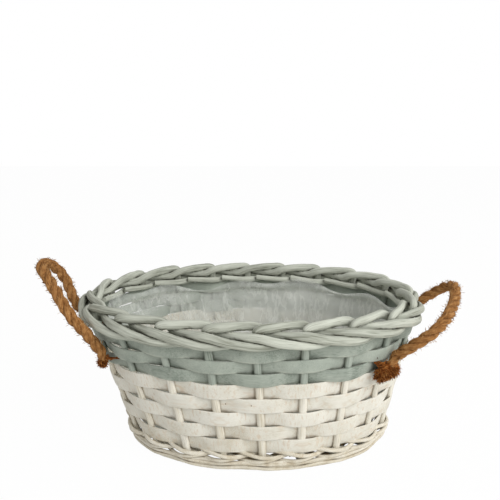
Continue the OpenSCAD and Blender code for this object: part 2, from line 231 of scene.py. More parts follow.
# %% [markdown]
# The camera
#
# The photograph looks down at the basket from the front, from about half a metre away. The
# camera's place, its tilt of 13.6 degrees and its lens are set once. Nothing later moves it.

# %% Camera
camera_data = bpy.data.cameras.new("camera")
CAMERA_X, CAMERA_AWAY, CAMERA_HIGH, CAMERA_DOWN = -1.2, 441.5, 268, 13.58
camera_data.lens = 37.63
camera_data.sensor_width = 36
camera = bpy.data.objects.new("camera", camera_data)
scene.collection.objects.link(camera)
camera.location = ((CAMERA_X + RIM_X) * MM, -CAMERA_AWAY * MM, CAMERA_HIGH * MM)
camera.rotation_euler = (math.radians(90 - CAMERA_DOWN), 0, 0)
scene.camera = camera
scene.view_settings.view_transform = "Standard"
print("camera at", [round(v, 4) for v in camera.location])

# %% [markdown]
# A bench for nodes
#
# Both Geometry Nodes and materials are trees of nodes joined by links. Written out in full,
# each node takes four or five lines. The small class below shortens that: it adds a node,
# sets it and joins what feeds it, for either kind of tree, and counts in plain words.

# %% Short ways to add and join nodes
class Bench:
    def __init__(self, tree):
        self.tree = tree

    def pick(self, sockets, key):
        ready = [s for s in sockets if s.enabled]
        if isinstance(key, int):
            return ready[key]
        return next(s for s in ready if s.name == key)

    def out(self, node, key=0):
        return self.pick(node.outputs, key)

    def feed(self, node, key, value):
        socket = self.pick(node.inputs, key)
        if isinstance(value, bpy.types.Node):
            value = self.out(value)
        if isinstance(value, bpy.types.NodeSocket):
            self.tree.links.new(value, socket)
        else:
            socket.default_value = value

    def add(self, kind, feeds=None, **settings):
        node = self.tree.nodes.new(kind)
        for key, value in settings.items():
            setattr(node, key, value)
        for key, value in (feeds or {}).items():
            self.feed(node, key, value)
        return node

    def math(self, operation, *values):
        return self.add("ShaderNodeMath", dict(enumerate(values)), operation=operation)

    def plus(self, *values):
        return self.math("ADD", *values)

    def minus(self, *values):
        return self.math("SUBTRACT", *values)

    def times(self, *values):
        return self.math("MULTIPLY", *values)

    def vector(self, operation, *values):
        return self.add("ShaderNodeVectorMath", dict(enumerate(values)), operation=operation)

    def scaled(self, vector, factor):
        return self.add("ShaderNodeVectorMath", {0: vector, "Scale": factor}, operation="SCALE")

    def noise(self, vector, scale, detail=2.0, rough=0.5):
        feeds = {"Vector": vector, "Scale": scale, "Detail": detail, "Roughness": rough}
        return self.add("ShaderNodeTexNoise", feeds)


# %% [markdown]
# Guide lines and the tree that dresses them
#
# A guide is a mesh of bare edges: one chain of points for each rod or strip. Numbers such as
# the thickness travel with the points as attributes. A Geometry Nodes tree then grows the
# real piece on the guide, and the result is kept as a plain mesh without a modifier.

# %% Guides, trees and pieces
def new_object(name, points, edges=(), faces=(), **facts):
    """A mesh object in the scene, with facts as attributes of its points."""
    mesh = bpy.data.meshes.new(name)
    mesh.from_pydata([tuple(p) for p in points], edges, faces)
    for fact, values in facts.items():
        values = np.asarray(values, float)
        kind, field = ("FLOAT", "value") if values.ndim == 1 else ("FLOAT_VECTOR", "vector")
        mesh.attributes.new(fact, kind, "POINT").data.foreach_set(field, values.ravel())
    thing = bpy.data.objects.new(name, mesh)
    scene.collection.objects.link(thing)
    return thing


def guide_lines(name, lines, closed=False, **facts):
    points = np.vstack(lines) * MM + SHIFT * MM
    edges = []
    start = 0
    for line in lines:
        count = len(line)
        edges += [(start + i, start + i + 1) for i in range(count - 1)]
        if closed:
            edges.append((start + count - 1, start))
        start += count
    return new_object(name, points, edges, **{fact: np.concatenate(parts) for fact, parts in facts.items()})


SOCKETS = {"float": "NodeSocketFloat", "int": "NodeSocketInt", "material": "NodeSocketMaterial",
           "object": "NodeSocketObject"}


def new_tree(name, **inputs):
    group = bpy.data.node_groups.new(name, "GeometryNodeTree")
    group.interface.new_socket(name="Guide", in_out="INPUT", socket_type="NodeSocketGeometry")
    for label, kind in {**inputs, "seed": "int", "material": "material"}.items():
        socket_name = label.replace("_", " ").capitalize()
        group.interface.new_socket(name=socket_name, in_out="INPUT", socket_type=SOCKETS[kind])
    group.interface.new_socket(name="Piece", in_out="OUTPUT", socket_type="NodeSocketGeometry")
    bench = Bench(group)
    bench.start = group.nodes.new("NodeGroupInput")
    return bench


def close_tree(bench, piece):
    smooth = bench.add("GeometryNodeSetShadeSmooth", {0: piece})
    whole = bench.add("GeometryNodeRealizeInstances", {0: smooth})
    dressed = bench.add("GeometryNodeSetMaterial", {0: whole, "Material": bench.start.outputs["Material"]})
    end = bench.tree.nodes.new("NodeGroupOutput")
    bench.tree.links.new(dressed.outputs[0], end.inputs[0])


def named(bench, attribute, kind="FLOAT"):
    return bench.add("GeometryNodeInputNamedAttribute", {"Name": attribute}, data_type=kind)


def named_vector(bench, attribute):
    return named(bench, attribute, "FLOAT_VECTOR")


def keep(bench, geometry, attribute, value, kind="FLOAT"):
    feeds = {"Geometry": geometry, "Name": attribute, "Value": value}
    return bench.add("GeometryNodeStoreNamedAttribute", feeds, data_type=kind, domain="POINT")


def joined(bench, *parts):
    both = bench.add("GeometryNodeJoinGeometry")
    for part in parts:
        if isinstance(part, bpy.types.Node):
            part = bench.out(part)
        bench.tree.links.new(part, both.inputs[0])
    return both


def roughened(bench, surface, pattern, height):
    """Push each point in or out by the pattern, which runs from 0 to 1 about a half."""
    swell = bench.times(bench.minus(pattern, 0.5), height)
    swell = bench.scaled(bench.add("GeometryNodeInputNormal"), swell)
    return bench.add("GeometryNodeSetPosition", {"Geometry": surface, "Offset": swell})


RAYS = 16
RAY_TURN = 2.4


# The finishes paint shade from this attribute: the more filled the space near a point, the darker it is
# painted.
def crevices(bench, surface, near, reach):
    """Store how much of the space close to each point is filled by other pieces."""
    normal = bench.out(bench.add("GeometryNodeInputNormal"))
    start = bench.vector("ADD", bench.add("GeometryNodeInputPosition"), bench.scaled(normal, 0.25 * MM))
    met, room = 0.0, 0.001
    for i in range(RAYS):
        rise = 1 - (2 * i + 1) / RAYS
        flat, turn = math.sqrt(1 - rise * rise), RAY_TURN * i
        way = (flat * math.cos(turn), flat * math.sin(turn), rise)
        share = bench.math("MAXIMUM", bench.out(bench.vector("DOT_PRODUCT", normal, way), "Value"), 0.0)
        ray = bench.add("GeometryNodeRaycast", {
            "Target Geometry": near, "Source Position": start, "Ray Direction": way, "Ray Length": reach})
        met = bench.plus(met, bench.times(share, bench.out(ray, "Is Hit")))
        room = bench.plus(room, share)
    return keep(bench, surface, "crevice", bench.math("DIVIDE", met, room))


def grow(name, guide, bench, material, **values):
    modifier = guide.modifiers.new("grow", "NODES")
    modifier.node_group = bench.tree
    values = {"Material": material, **{k.replace("_", " ").capitalize(): v for k, v in values.items()}}
    for item in bench.tree.interface.items_tree:
        if item.in_out == "INPUT" and item.name in values:
            modifier[item.identifier] = values[item.name]
    graph = bpy.context.evaluated_depsgraph_get()
    mesh = bpy.data.meshes.new_from_object(
        guide.evaluated_get(graph), preserve_all_data_layers=True, depsgraph=graph)
    bpy.data.objects.remove(guide)
    mesh.name = name
    piece = bpy.data.objects.new(name, mesh)
    scene.collection.objects.link(piece)
    print(name, "has", sum(len(p.vertices) - 2 for p in mesh.polygons), "triangles")
    return piece


# %% [markdown]
# Colours as they look
#
# Shaders count in linear light, while a colour picked by eye is in screen values from 0 to
# 255. This helper turns one into the other, so each finish can be written as it looks.

# %% Colour helper and a ramp
def seen(red, green, blue):
    def linear(v):
        v = v / 255
        return v / 12.92 if v <= 0.04045 else ((v + 0.055) / 1.055) ** 2.4
    return (linear(red), linear(green), linear(blue), 1.0)


def ramp(bench, factor, stops):
    node = bench.add("ShaderNodeValToRGB", {0: factor})
    points = node.color_ramp.elements
    while len(points) < len(stops):
        points.new(0.5)
    for point, (place, colour) in zip(points, stops):
        point.position = place
        point.color = colour
    return node


def mixed(bench, factor, first, second):
    return bench.add("ShaderNodeMix", {"Factor": factor, "A": first, "B": second}, data_type="RGBA")


def laid_over(bench, colour, paint, where, share):
    """Paint laid over a colour, as thick as where tells, and share at the most."""
    return mixed(bench, bench.times(where, share), colour, paint)


def narrowed(bench, value, low, high):
    return bench.add("ShaderNodeMapRange", {"Value": value, "From Min": low, "From Max": high})


def new_finish(name):
    material = bpy.data.materials.new(name)
    material.use_nodes = True
    material.node_tree.nodes.clear()
    return material, Bench(material.node_tree)


def close_finish(bench, colour, height, depth, roughness, **sockets):
    bump = bench.add("ShaderNodeBump", {"Height": height, "Distance": depth, "Strength": 1.0})
    feeds = {"Base Color": colour, "Roughness": roughness, "Normal": bump}
    shader = bench.add("ShaderNodeBsdfPrincipled", feeds)
    for socket, value in sockets.items():
        shader.inputs[socket.replace("_", " ")].default_value = value
    bench.add("ShaderNodeOutputMaterial", {"Surface": bench.out(shader)})


# %% [markdown]
# Grain
#
# Every willow piece carries an attribute called grain: two numbers across the wood and one
# along it, in metres. Stretching a noise along that third number gives fibres that follow
# each rod round every bend. Patterns on plain Object coordinates would cut across it.

# %% Attributes, fibres and blotches
def attribute(bench, name, socket="Fac"):
    return bench.out(bench.add("ShaderNodeAttribute", attribute_name=name), socket)


def place_of(bench):
    return bench.out(bench.add("ShaderNodeTexCoord"), "Object")


# Painted shade: the colour is darkened towards deep where the crevice attribute says other pieces crowd
# close.
def shaded_in_crevices(bench, colour, deep, share):
    crevice_shade = narrowed(bench, attribute(bench, "crevice"), 0.22, 0.75)
    return laid_over(bench, colour, deep, crevice_shade, share)


def fibres(bench, grain, finest, stretch, detail=4.0):
    stretched = bench.vector("MULTIPLY", grain, (1, 1, 1 / stretch))
    return bench.noise(stretched, 1 / (finest * MM), detail, 0.6)


def blotches(bench, size, detail=3.0):
    return bench.noise(place_of(bench), 1 / (size * MM), detail, 0.55)


# %% [markdown]
# Washed willow
#
# The stakes and the border are bark-on willow brushed with thin sage-grey paint. It has
# sunk into the hollows of the bark and rubbed thin on its ridges. In the wall the same rods
# run behind the grey-green rows and then the white ones, and were painted with them, so the
# finish changes with height. Noise bends the two lines where one colour meets the next.

# %% Finish of stakes and border
def washed(bench, colours, fine, coarse, shade):
    """Paint from dark to light over the fibres, with each rod a little different."""
    mix = bench.plus(bench.times(fine, 0.5), bench.times(coarse, 0.5))
    mix = bench.plus(mix, bench.times(bench.minus(shade, 0.5), 0.16))
    return ramp(bench, mix, [(place, seen(*c)) for place, c in zip((0.3, 0.46, 0.64), colours)])


SAGE_WASH = ((118, 120, 106), (178, 181, 168), (202, 205, 192))
GREEN_WASH = ((112, 120, 110), (152, 160, 149), (173, 180, 169))
WHITE_WASH = ((190, 178, 152), (221, 215, 199), (232, 228, 216))


def rod_finish(name):
    material, bench = new_finish(name)
    grain, shade = attribute(bench, "grain", "Vector"), attribute(bench, "shade")
    fine = fibres(bench, grain, 0.8, 30)
    coarse = fibres(bench, grain, 2.6, 12, 3.0)
    sage, green, white = [
        washed(bench, colours, fine, coarse, shade) for colours in (SAGE_WASH, GREEN_WASH, WHITE_WASH)]
    height = bench.out(bench.add("ShaderNodeSeparateXYZ", {0: place_of(bench)}), "Z")
    waver = bench.times(bench.minus(blotches(bench, 4), 0.5), 3 * MM)
    height = bench.plus(height, waver)
    is_green = narrowed(bench, height, (GREEN_FROM - 0.4) * MM, (GREEN_FROM + 0.4) * MM)
    is_sage = narrowed(bench, height, (WALL_H - 2) * MM, (WALL_H + 4) * MM)
    colour = mixed(bench, is_sage, mixed(bench, is_green, white, green), sage)
    is_worn = narrowed(bench, fibres(bench, grain, 0.5, 40, 5.0), 0.56, 0.68)
    colour = laid_over(bench, colour, seen(112, 110, 94), is_worn, 0.55)
    # Painted shade: dark brown where the rods of the stakes and border crowd each other.
    colour = shaded_in_crevices(bench, colour, seen(66, 62, 48), 0.85)
    relief = bench.plus(fine, bench.times(coarse, 0.6))
    close_finish(bench, colour, relief, 0.35 * MM, 0.78, Specular_IOR_Level=0.25)
    return material


ROD_FINISH = rod_finish("washed_willow")
print("finish:", ROD_FINISH.name)

# %% [markdown]
# Chip finishes
#
# Chip is willow split and shaved to a flat strip. The green strips took thin paint evenly.
# On the white ones the wash is thin enough for tan stains, pinkish patches and small dark
# knots to show through it. On both, the lower edge of each strip is painted paler in patches,
# a painted highlight where it catches the light.

# %% Finishes of the grey-green and the white chips
def chip_finish(name, colours, stain, stained, knots, wear_and_highlight, deep):
    material, bench = new_finish(name)
    grain, shade = attribute(bench, "grain", "Vector"), attribute(bench, "shade")
    fine = fibres(bench, grain, 0.6, 22)
    coarse = blotches(bench, 14)
    colour = washed(bench, colours, fine, coarse, shade)
    spread = fibres(bench, grain, 6, 4, 2.0)
    colour = laid_over(bench, colour, stain, narrowed(bench, spread, 0.52, 0.72), stained)
    wide = bench.vector("MULTIPLY", grain, (1, 1, 0.45))
    cells = bench.add("ShaderNodeTexVoronoi", {"Vector": wide, "Scale": 1 / (11 * MM)})
    specks = bench.minus(1.0, narrowed(bench, bench.out(cells, "Distance"), 0.045, 0.085))
    chance = bench.out(bench.add("ShaderNodeSeparateColor", {0: bench.out(cells, "Color")}), 0)
    specks = bench.times(specks, bench.math("LESS_THAN", chance, knots))
    colour = laid_over(bench, colour, seen(112, 96, 72), specks, 0.75)
    # Painted highlight: the lower edge of each strip is paler in patches, where it catches the light.
    wear_and_highlight_mask = narrowed(bench, bench.times(attribute(bench, "edge"), -1.0), 0.62, 0.94)
    wear_and_highlight_mask = bench.times(wear_and_highlight_mask, narrowed(bench, coarse, 0.4, 0.56))
    colour = laid_over(bench, colour, wear_and_highlight, wear_and_highlight_mask, 0.55)
    # Painted shade: darker where the strip runs close to the stakes and to its own other passes.
    colour = shaded_in_crevices(bench, colour, deep, 0.6)
    relief = bench.plus(fine, bench.times(specks, -0.5))
    close_finish(bench, colour, relief, 0.22 * MM, 0.7, Specular_IOR_Level=0.3)
    return material


# Each finish ends with its painted highlight for the strips' lower edges and its painted shade for the
# crevices.
GREEN_FINISH = chip_finish(
    "grey_green_chip", ((116, 125, 114), (152, 160, 149), (173, 180, 168)), stain=seen(174, 178, 168),
    stained=0.35, knots=0.12, wear_and_highlight=seen(186, 190, 176), deep=seen(80, 82, 70))
WHITE_FINISH = chip_finish(
    "whitewashed_chip", ((196, 188, 168), (217, 213, 200), (228, 225, 214)), stain=seen(204, 184, 158),
    stained=0.6, knots=0.3, wear_and_highlight=seen(236, 234, 225), deep=seen(140, 116, 84))
print("finishes:", GREEN_FINISH.name, WHITE_FINISH.name)

# %% [markdown]
# Thin rods at the foot and in the base
#
# The waling round the foot is thin round willow with the same white wash, rubbed down to the
# tan wood on its high places. The base was hardly painted: it is bare, buff and a little
# darker in its grain.

# %% Finishes of the waling and the base
def thin_rod_finish(name, colours, wear_and_highlight, wear):
    material, bench = new_finish(name)
    grain, shade = attribute(bench, "grain", "Vector"), attribute(bench, "shade")
    fine = fibres(bench, grain, 0.5, 16)
    coarse = blotches(bench, 7)
    colour = washed(bench, colours, fine, coarse, shade)
    wear_and_highlight_mask = narrowed(bench, fibres(bench, grain, 1.6, 9, 3.0), 0.52, 0.66)
    colour = laid_over(bench, colour, wear_and_highlight, wear_and_highlight_mask, wear)
    # Painted shade: tan-brown where the thin rods crowd each other.
    colour = shaded_in_crevices(bench, colour, seen(120, 96, 62), 0.4)
    close_finish(bench, colour, bench.plus(fine, coarse), 0.25 * MM, 0.75, Specular_IOR_Level=0.25)
    return material


WALE_FINISH = thin_rod_finish(
    "whitewashed_rod", ((184, 170, 142), (219, 212, 194), (232, 228, 215)), seen(184, 156, 118), 0.42)
BASE_FINISH = thin_rod_finish(
    "bare_willow", ((150, 122, 84), (196, 172, 132), (220, 204, 172)), seen(226, 220, 204), 0.5)
print("finishes:", WALE_FINISH.name, BASE_FINISH.name)

# %% [markdown]
# Coir
#
# Coir is coconut fibre: short, stiff hairs from straw to rust, twisted hard. Close up it is
# never one brown, so two noises along the strand mix four colours. The freshly cut ends
# are more rust than the weathered loop.

# %% Finishes of the rope
def coir_finish(name, stops, depth):
    material, bench = new_finish(name)
    grain, shade = attribute(bench, "grain", "Vector"), attribute(bench, "shade")
    hairs = fibres(bench, grain, 0.35, 10, 5.0)
    tufts = blotches(bench, 5, 4.0)
    mix = bench.plus(bench.times(hairs, 0.62), bench.times(tufts, 0.38))
    mix = bench.plus(mix, bench.times(bench.minus(shade, 0.5), 0.35))
    close_finish(bench, ramp(bench, mix, stops), hairs, depth, 0.9, Specular_IOR_Level=0.15)
    return material


ROPE_FINISH = coir_finish("coir_rope", [
    (0.3, seen(74, 44, 18)), (0.43, seen(134, 90, 48)), (0.55, seen(172, 124, 74)),
    (0.7, seen(204, 162, 108))], 0.5 * MM)
TUFT_FINISH = coir_finish("coir_cut_ends", [
    (0.3, seen(64, 30, 8)), (0.45, seen(126, 70, 26)), (0.6, seen(168, 104, 48)),
    (0.75, seen(198, 140, 80))], 0.4 * MM)
print("finishes:", ROPE_FINISH.name, TUFT_FINISH.name)

# %% [markdown]
# The rope loops
#
# The rope is three strands laid round each other. On the real one that is done by twisting;
# here a tree makes three copies of the loop's line, pushes each one out to its place on a
# helix, and sweeps a circle along it. Hairs are then scattered over the strands, because a
# coir rope without its fuzz looks like plastic.

# %% Tree for a three-strand rope
def hair_shape(bench, bend):
    line = bench.add("GeometryNodeMeshLine", {"Count": 4, "Offset": (0, 0, 1 / 3)})
    curve = bench.add("GeometryNodeMeshToCurve", {0: line})
    share = bench.out(bench.add("GeometryNodeSplineParameter"), "Factor")
    lean = bench.times(bench.math("POWER", share, 2.0), bend)
    offset = bench.add("ShaderNodeCombineXYZ", {"X": lean})
    curve = bench.add("GeometryNodeSetPosition", {"Geometry": curve, "Offset": offset})
    ring = bench.add("GeometryNodeCurvePrimitiveCircle", {"Resolution": 3, "Radius": 1.0})
    thin = bench.minus(1.0, bench.times(share, 0.6))
    feeds = {"Curve": curve, "Profile Curve": ring, "Scale": thin, "Fill Caps": True}
    return bench.add("GeometryNodeCurveToMesh", feeds)


def any_between(bench, low, high, draw):
    seed = bench.plus(bench.start.outputs["Seed"], draw)
    return bench.add("FunctionNodeRandomValue", {"Min": low, "Max": high, "Seed": seed})


def hairs_on(bench, surface, start, lie, density):
    feeds = {"Mesh": surface, "Density": density, "Seed": start["Seed"]}
    spots = bench.add("GeometryNodeDistributePointsOnFaces", feeds)
    normal = bench.out(spots, "Normal")
    stray = bench.add("FunctionNodeRandomValue", {
        "Min": (-1, -1, -1), "Max": (1, 1, 1), "Seed": start["Seed"]}, data_type="FLOAT_VECTOR")
    way = bench.vector("ADD", bench.scaled(normal, start["Stand"]), bench.scaled(stray, 0.55))
    way = bench.vector("ADD", way, lie)
    turn = bench.add("FunctionNodeAlignRotationToVector", {"Vector": way}, axis="Z")
    long = any_between(bench, bench.times(start["Hair length"], 0.35), start["Hair length"], 3.0)
    wide = any_between(bench, bench.times(start["Hair radius"], 0.6), start["Hair radius"], 5.0)
    scale = bench.add("ShaderNodeCombineXYZ", {"X": wide, "Y": wide, "Z": long})
    spots = keep(bench, bench.out(spots), "shade", any_between(bench, 0.0, 1.0, 7.0))
    feeds = {"Points": spots, "Instance": hair_shape(bench, 4.0), "Rotation": turn, "Scale": scale}
    return bench.add("GeometryNodeInstanceOnPoints", feeds)


def rope_tree():
    bench = new_tree(
        "three_strand_rope", strand_radius="float", helix_radius="float", lay_length="float",
        hairs_per_area="float", hair_length="float", hair_radius="float", stand="float")
    start = bench.start.outputs
    curve = bench.add("GeometryNodeMeshToCurve", {0: start["Guide"]})
    length = bench.out(bench.add("GeometryNodeSplineParameter"), "Length")
    curve = keep(bench, curve, "along", length)
    curve = keep(bench, curve, "side", bench.add("GeometryNodeInputNormal"), "FLOAT_VECTOR")
    curve = keep(bench, curve, "ahead", bench.add("GeometryNodeInputTangent"), "FLOAT_VECTOR")
    copies = bench.add("GeometryNodeDuplicateElements", {"Geometry": curve, "Amount": 3}, domain="SPLINE")
    curve = keep(bench, bench.out(copies), "strand", bench.out(copies, "Duplicate Index"))
    turn = bench.plus(bench.math("DIVIDE", named(bench, "along"), start["Lay length"]),
                      bench.math("DIVIDE", named(bench, "strand"), 3.0))
    turn = bench.times(turn, 2 * math.pi)
    side = named_vector(bench, "side")
    other = bench.vector("CROSS_PRODUCT", named_vector(bench, "ahead"), side)
    sideways = bench.scaled(side, bench.math("COSINE", turn))
    push = bench.vector("ADD", sideways, bench.scaled(other, bench.math("SINE", turn)))
    push = bench.scaled(push, bench.times(start["Helix radius"], named(bench, "thick")))
    curve = bench.add("GeometryNodeSetPosition", {"Geometry": curve, "Offset": push})
    ring = bench.add("GeometryNodeCurvePrimitiveCircle", {"Resolution": 10, "Radius": 1.0})
    spot = bench.add("GeometryNodeInputPosition")
    ring = keep(bench, ring, "around", spot, "FLOAT_VECTOR")
    size = bench.times(start["Strand radius"], named(bench, "thick"))
    feeds = {"Curve": curve, "Profile Curve": ring, "Scale": size, "Fill Caps": True}
    strands = bench.add("GeometryNodeCurveToMesh", feeds)
    across = bench.scaled(named_vector(bench, "around"), start["Strand radius"])
    down = bench.plus(named(bench, "along"), bench.times(named(bench, "strand"), 0.7))
    grain = bench.vector("ADD", across, bench.add("ShaderNodeCombineXYZ", {"Z": down}))
    strands = keep(bench, strands, "grain", grain, "FLOAT_VECTOR")
    uneven = bench.noise(named_vector(bench, "grain"), 500.0, 3.0, 0.6)
    strands = roughened(bench, strands, uneven, 1.2 * MM)
    strands = keep(bench, strands, "shade", 0.5)
    lie = bench.scaled(named_vector(bench, "ahead"), 0.5)
    hairs = hairs_on(bench, strands, start, lie, start["Hairs per area"])
    close_tree(bench, joined(bench, strands, hairs))
    return bench


ROPE_TREE = rope_tree()


STRAND_R, LAY_LENGTH = 2.35, 30
ROPE_HAIRS, ROPE_HAIR_L, ROPE_HAIR_R, ROPE_HAIR_STAND = 170000.0, 2.6, 0.09, 0.55


def tuft_heart(tucks, tuft):
    """The middle of the tuft that a tucked rope end opens into."""
    u = tucks[0] + (tucks[1] - tucks[0]) * tuft[0]
    return wall_point(u, TUCK_Z - 0.72 * ROPE_D * tuft[2], 0.88 * ROPE_D)


def rope_loop(name, line, tucks, tuft, body, seed):
    front, back = [tuft_heart(tucks[end], tuft) for end in ("front", "back")]
    path = np.vstack([
        [line[0] + (front - line[0]) * 0.75, line[0] + (front - line[0]) * 0.35], line,
        [line[-1] + (back - line[-1]) * 0.35, line[-1] + (back - line[-1]) * 0.75]])
    reach = np.minimum(np.arange(len(path)), np.arange(len(path))[::-1])
    thick = np.interp(reach, [0, 1, 2, 3], [0.7, 0.85, 0.95, 1])
    guide = guide_lines(name + "_line", [path], thick=[thick])
    rope = grow(
        name, guide, ROPE_TREE, ROPE_FINISH, strand_radius=STRAND_R * MM, helix_radius=STRAND_R * MM,
        lay_length=LAY_LENGTH * MM, hairs_per_area=ROPE_HAIRS, hair_length=ROPE_HAIR_L * MM,
        hair_radius=ROPE_HAIR_R * MM, stand=ROPE_HAIR_STAND, seed=seed)
    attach(rope, body)
    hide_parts(body)
    print(name, "is", round(line_length(path)), "mm of rope")


rope_loop("left_rope_loop", left_line, LEFT_TUCKS, LEFT_TUFT, "left_handle", 11)
rope_loop("right_rope_loop", right_line, RIGHT_TUCKS, RIGHT_TUFT, "right_handle", 23)

# %% [markdown]
# Uneven by hand
#
# No row of a handmade basket is quite level and no rod quite even. The first function below
# lifts and lowers whole neighbourhoods together, so rows that touch stay together. The
# second one gives a number between -1 and 1 that drifts slowly along a rod.

# %% Handmade unevenness
def sway(u, z):
    round_turn = 2 * math.pi * u / STAKES
    lift = 0.62 * math.sin(3 * round_turn + 0.022 * z + 0.6)
    lift += 0.42 * math.sin(7 * round_turn - 0.05 * z + 2.1)
    lift += 0.25 * math.sin(13 * round_turn + 0.09 * z + 4.0)
    calm = min(1, max(0, (z - 8) / 22)) * min(1, max(0, (WALL_H + 4 - z) / 18))
    return lift * calm


def drift(places, seed, length):
    chance = np.random.RandomState(seed)
    total = np.zeros(len(places))
    for octave in (1.0, 2.3, 4.7):
        phase = chance.uniform(0, 2 * math.pi)
        total += np.sin(2 * math.pi * octave * places / length + phase) / octave
    return total / 1.6


# %% [markdown]
# Round rods
#
# A rod is a circle swept along its line. Its radius follows the attribute thick. Where chips
# squeeze it, an attribute named press flattens it: every point loses a share of its distance
# from the line in that direction. A noise along the grain makes the bark uneven, and the
# ends are capped, as a cut rod is.

# %% Tree for willow rods
def swept(bench, ring, size, capped):
    """Sweep a ring along the guide; along, spot and around tell where each point came from."""
    curve = bench.add("GeometryNodeMeshToCurve", {0: bench.start.outputs["Guide"]})
    length = bench.out(bench.add("GeometryNodeSplineParameter"), "Length")
    curve = keep(bench, curve, "along", length)
    curve = keep(bench, curve, "spot", bench.add("GeometryNodeInputPosition"), "FLOAT_VECTOR")
    ring = keep(bench, ring, "around", bench.add("GeometryNodeInputPosition"), "FLOAT_VECTOR")
    feeds = {"Curve": curve, "Profile Curve": ring, "Scale": size, "Fill Caps": capped}
    return bench.add("GeometryNodeCurveToMesh", feeds)


def rod_tree():
    bench = new_tree("willow_rod", sides="int", roughness_height="float", crevice_reach="float")
    start = bench.start.outputs
    ring = bench.add("GeometryNodeCurvePrimitiveCircle", {"Resolution": start["Sides"], "Radius": 1.0})
    rods = swept(bench, ring, named(bench, "thick"), True)
    press = named_vector(bench, "press")
    depth = bench.vector("SUBTRACT", bench.add("GeometryNodeInputPosition"), named_vector(bench, "spot"))
    depth = bench.out(bench.vector("DOT_PRODUCT", depth, press), "Value")
    pressed = bench.scaled(press, bench.times(depth, -1.0))
    rods = bench.add("GeometryNodeSetPosition", {"Geometry": rods, "Offset": pressed})
    across = bench.scaled(named_vector(bench, "around"), 2.5 * MM)
    down = bench.plus(named(bench, "along"), bench.times(named(bench, "shade"), 9.0))
    down = bench.plus(down, bench.times(start["Seed"], 0.31))
    grain = bench.vector("ADD", across, bench.add("ShaderNodeCombineXYZ", {"Z": down}))
    rods = keep(bench, rods, "grain", grain, "FLOAT_VECTOR")
    slow = bench.vector("MULTIPLY", named_vector(bench, "grain"), (1, 1, 0.3))
    rods = roughened(bench, rods, bench.noise(slow, 260.0, 2.0, 0.5), start["Roughness height"])
    rods = crevices(bench, rods, rods, start["Crevice reach"])
    close_tree(bench, rods)
    return bench


ROD_TREE = rod_tree()


def smooth_line(points, values, spacing):
    """A line through the points that doesn't swing out beside short spans, and its values."""
    p = np.asarray(points, float)
    h = np.linalg.norm(np.diff(p, axis=0), axis=1)
    slope = np.diff(p, axis=0) / h[:, None]
    m = np.empty_like(p)
    m[0], m[-1] = slope[0], slope[-1]
    weight = h[:-1] / (h[:-1] + h[1:])
    m[1:-1] = slope[:-1] * (1 - weight)[:, None] + slope[1:] * weight[:, None]
    line, sizes = [], []
    for i in range(len(p) - 1):
        steps = max(2, int(round(h[i] / spacing)))
        for s in np.arange(steps) / steps:
            a, b = 2 * s ** 3 - 3 * s * s + 1, s ** 3 - 2 * s * s + s
            c, d = -2 * s ** 3 + 3 * s * s, s ** 3 - s * s
            line.append(a * p[i] + b * h[i] * m[i] + c * p[i + 1] + d * h[i] * m[i + 1])
            sizes.append(values[i] + (values[i + 1] - values[i]) * s)
    return np.array(line + [p[-1]]), np.array(sizes + [values[-1]])


# %% [markdown]
# Where the base sticks reach
#
# Ten half-round sticks make the skeleton of the base: three run lengthwise, seven cross
# them, and their ends fan out to the twenty stakes. The foot of each stake lies beside the
# end of its stick. These functions give the ends and the feet.

# %% Base sticks and feet
LONG_STICKS, SHORT_STICKS = 3, 7
HALF_LONG = (LONG_STICKS - 1) / 2
HALF_SHORT = (SHORT_STICKS - 1) / 2
SLATH_L = BASE_L * 0.32
FAN_OUT = BASE_L * 0.05
SLATH_PITCH = STICK_D + STICK_GAP
SLATH_EDGE = SLATH_PITCH * HALF_LONG + STICK_D / 2 + STICK_GAP
FOOT_SIDE = (FOOT_D + STICK_D) / 2 + FOOT_GAP


def end_x(k):
    return k + HALF_LONG + 1 - math.floor((k + HALF_LONG) / (STAKES / 2)) * STAKES / 2


def quarter(k):
    return 1 if math.floor((k + HALF_LONG) / (STAKES / 2)) % 2 == 0 else -1


def is_long(k):
    return end_x(k) <= LONG_STICKS


def slath_point(k):
    i, way = end_x(k), quarter(k)
    if is_long(k):
        spot = [(SLATH_L / 2 + FAN_OUT) * way, (i - HALF_LONG - 1) * SLATH_PITCH * way, 0]
    else:
        spot = [(HALF_SHORT - (i - LONG_STICKS - 1)) / HALF_SHORT * SLATH_L / 2 * way, SLATH_EDGE * way, 0]
    return np.array(spot) + [LEAN, 0, FOOT_Z]


def stake_foot(k):
    return on_wall(stake_u(k), FOOT_Z)


def ray_out(k):
    v = stake_foot(k) - slath_point(k)
    a = -math.asin(FOOT_SIDE / np.linalg.norm(v))
    w = unit(v)
    return np.array([w[0] * math.cos(a) - w[1] * math.sin(a), w[0] * math.sin(a) + w[1] * math.cos(a), 0])


def ray_l(k):
    return float((stake_foot(k) - slath_point(k)) @ ray_out(k))


print("a foot lies", round(FOOT_SIDE, 2), "mm beside its stick")

# %% [markdown]
# Stakes and border
#
# One rod makes a stake and then its own share of the border: it bends over, passes behind
# its neighbours, comes to the front, and its tail is laid inside, where it ends in a cut.
# With twenty rods doing the same one step apart, the border plaits itself. The table gives
# the path in shares: pitches along, rod diameters out and up, and the thickness.

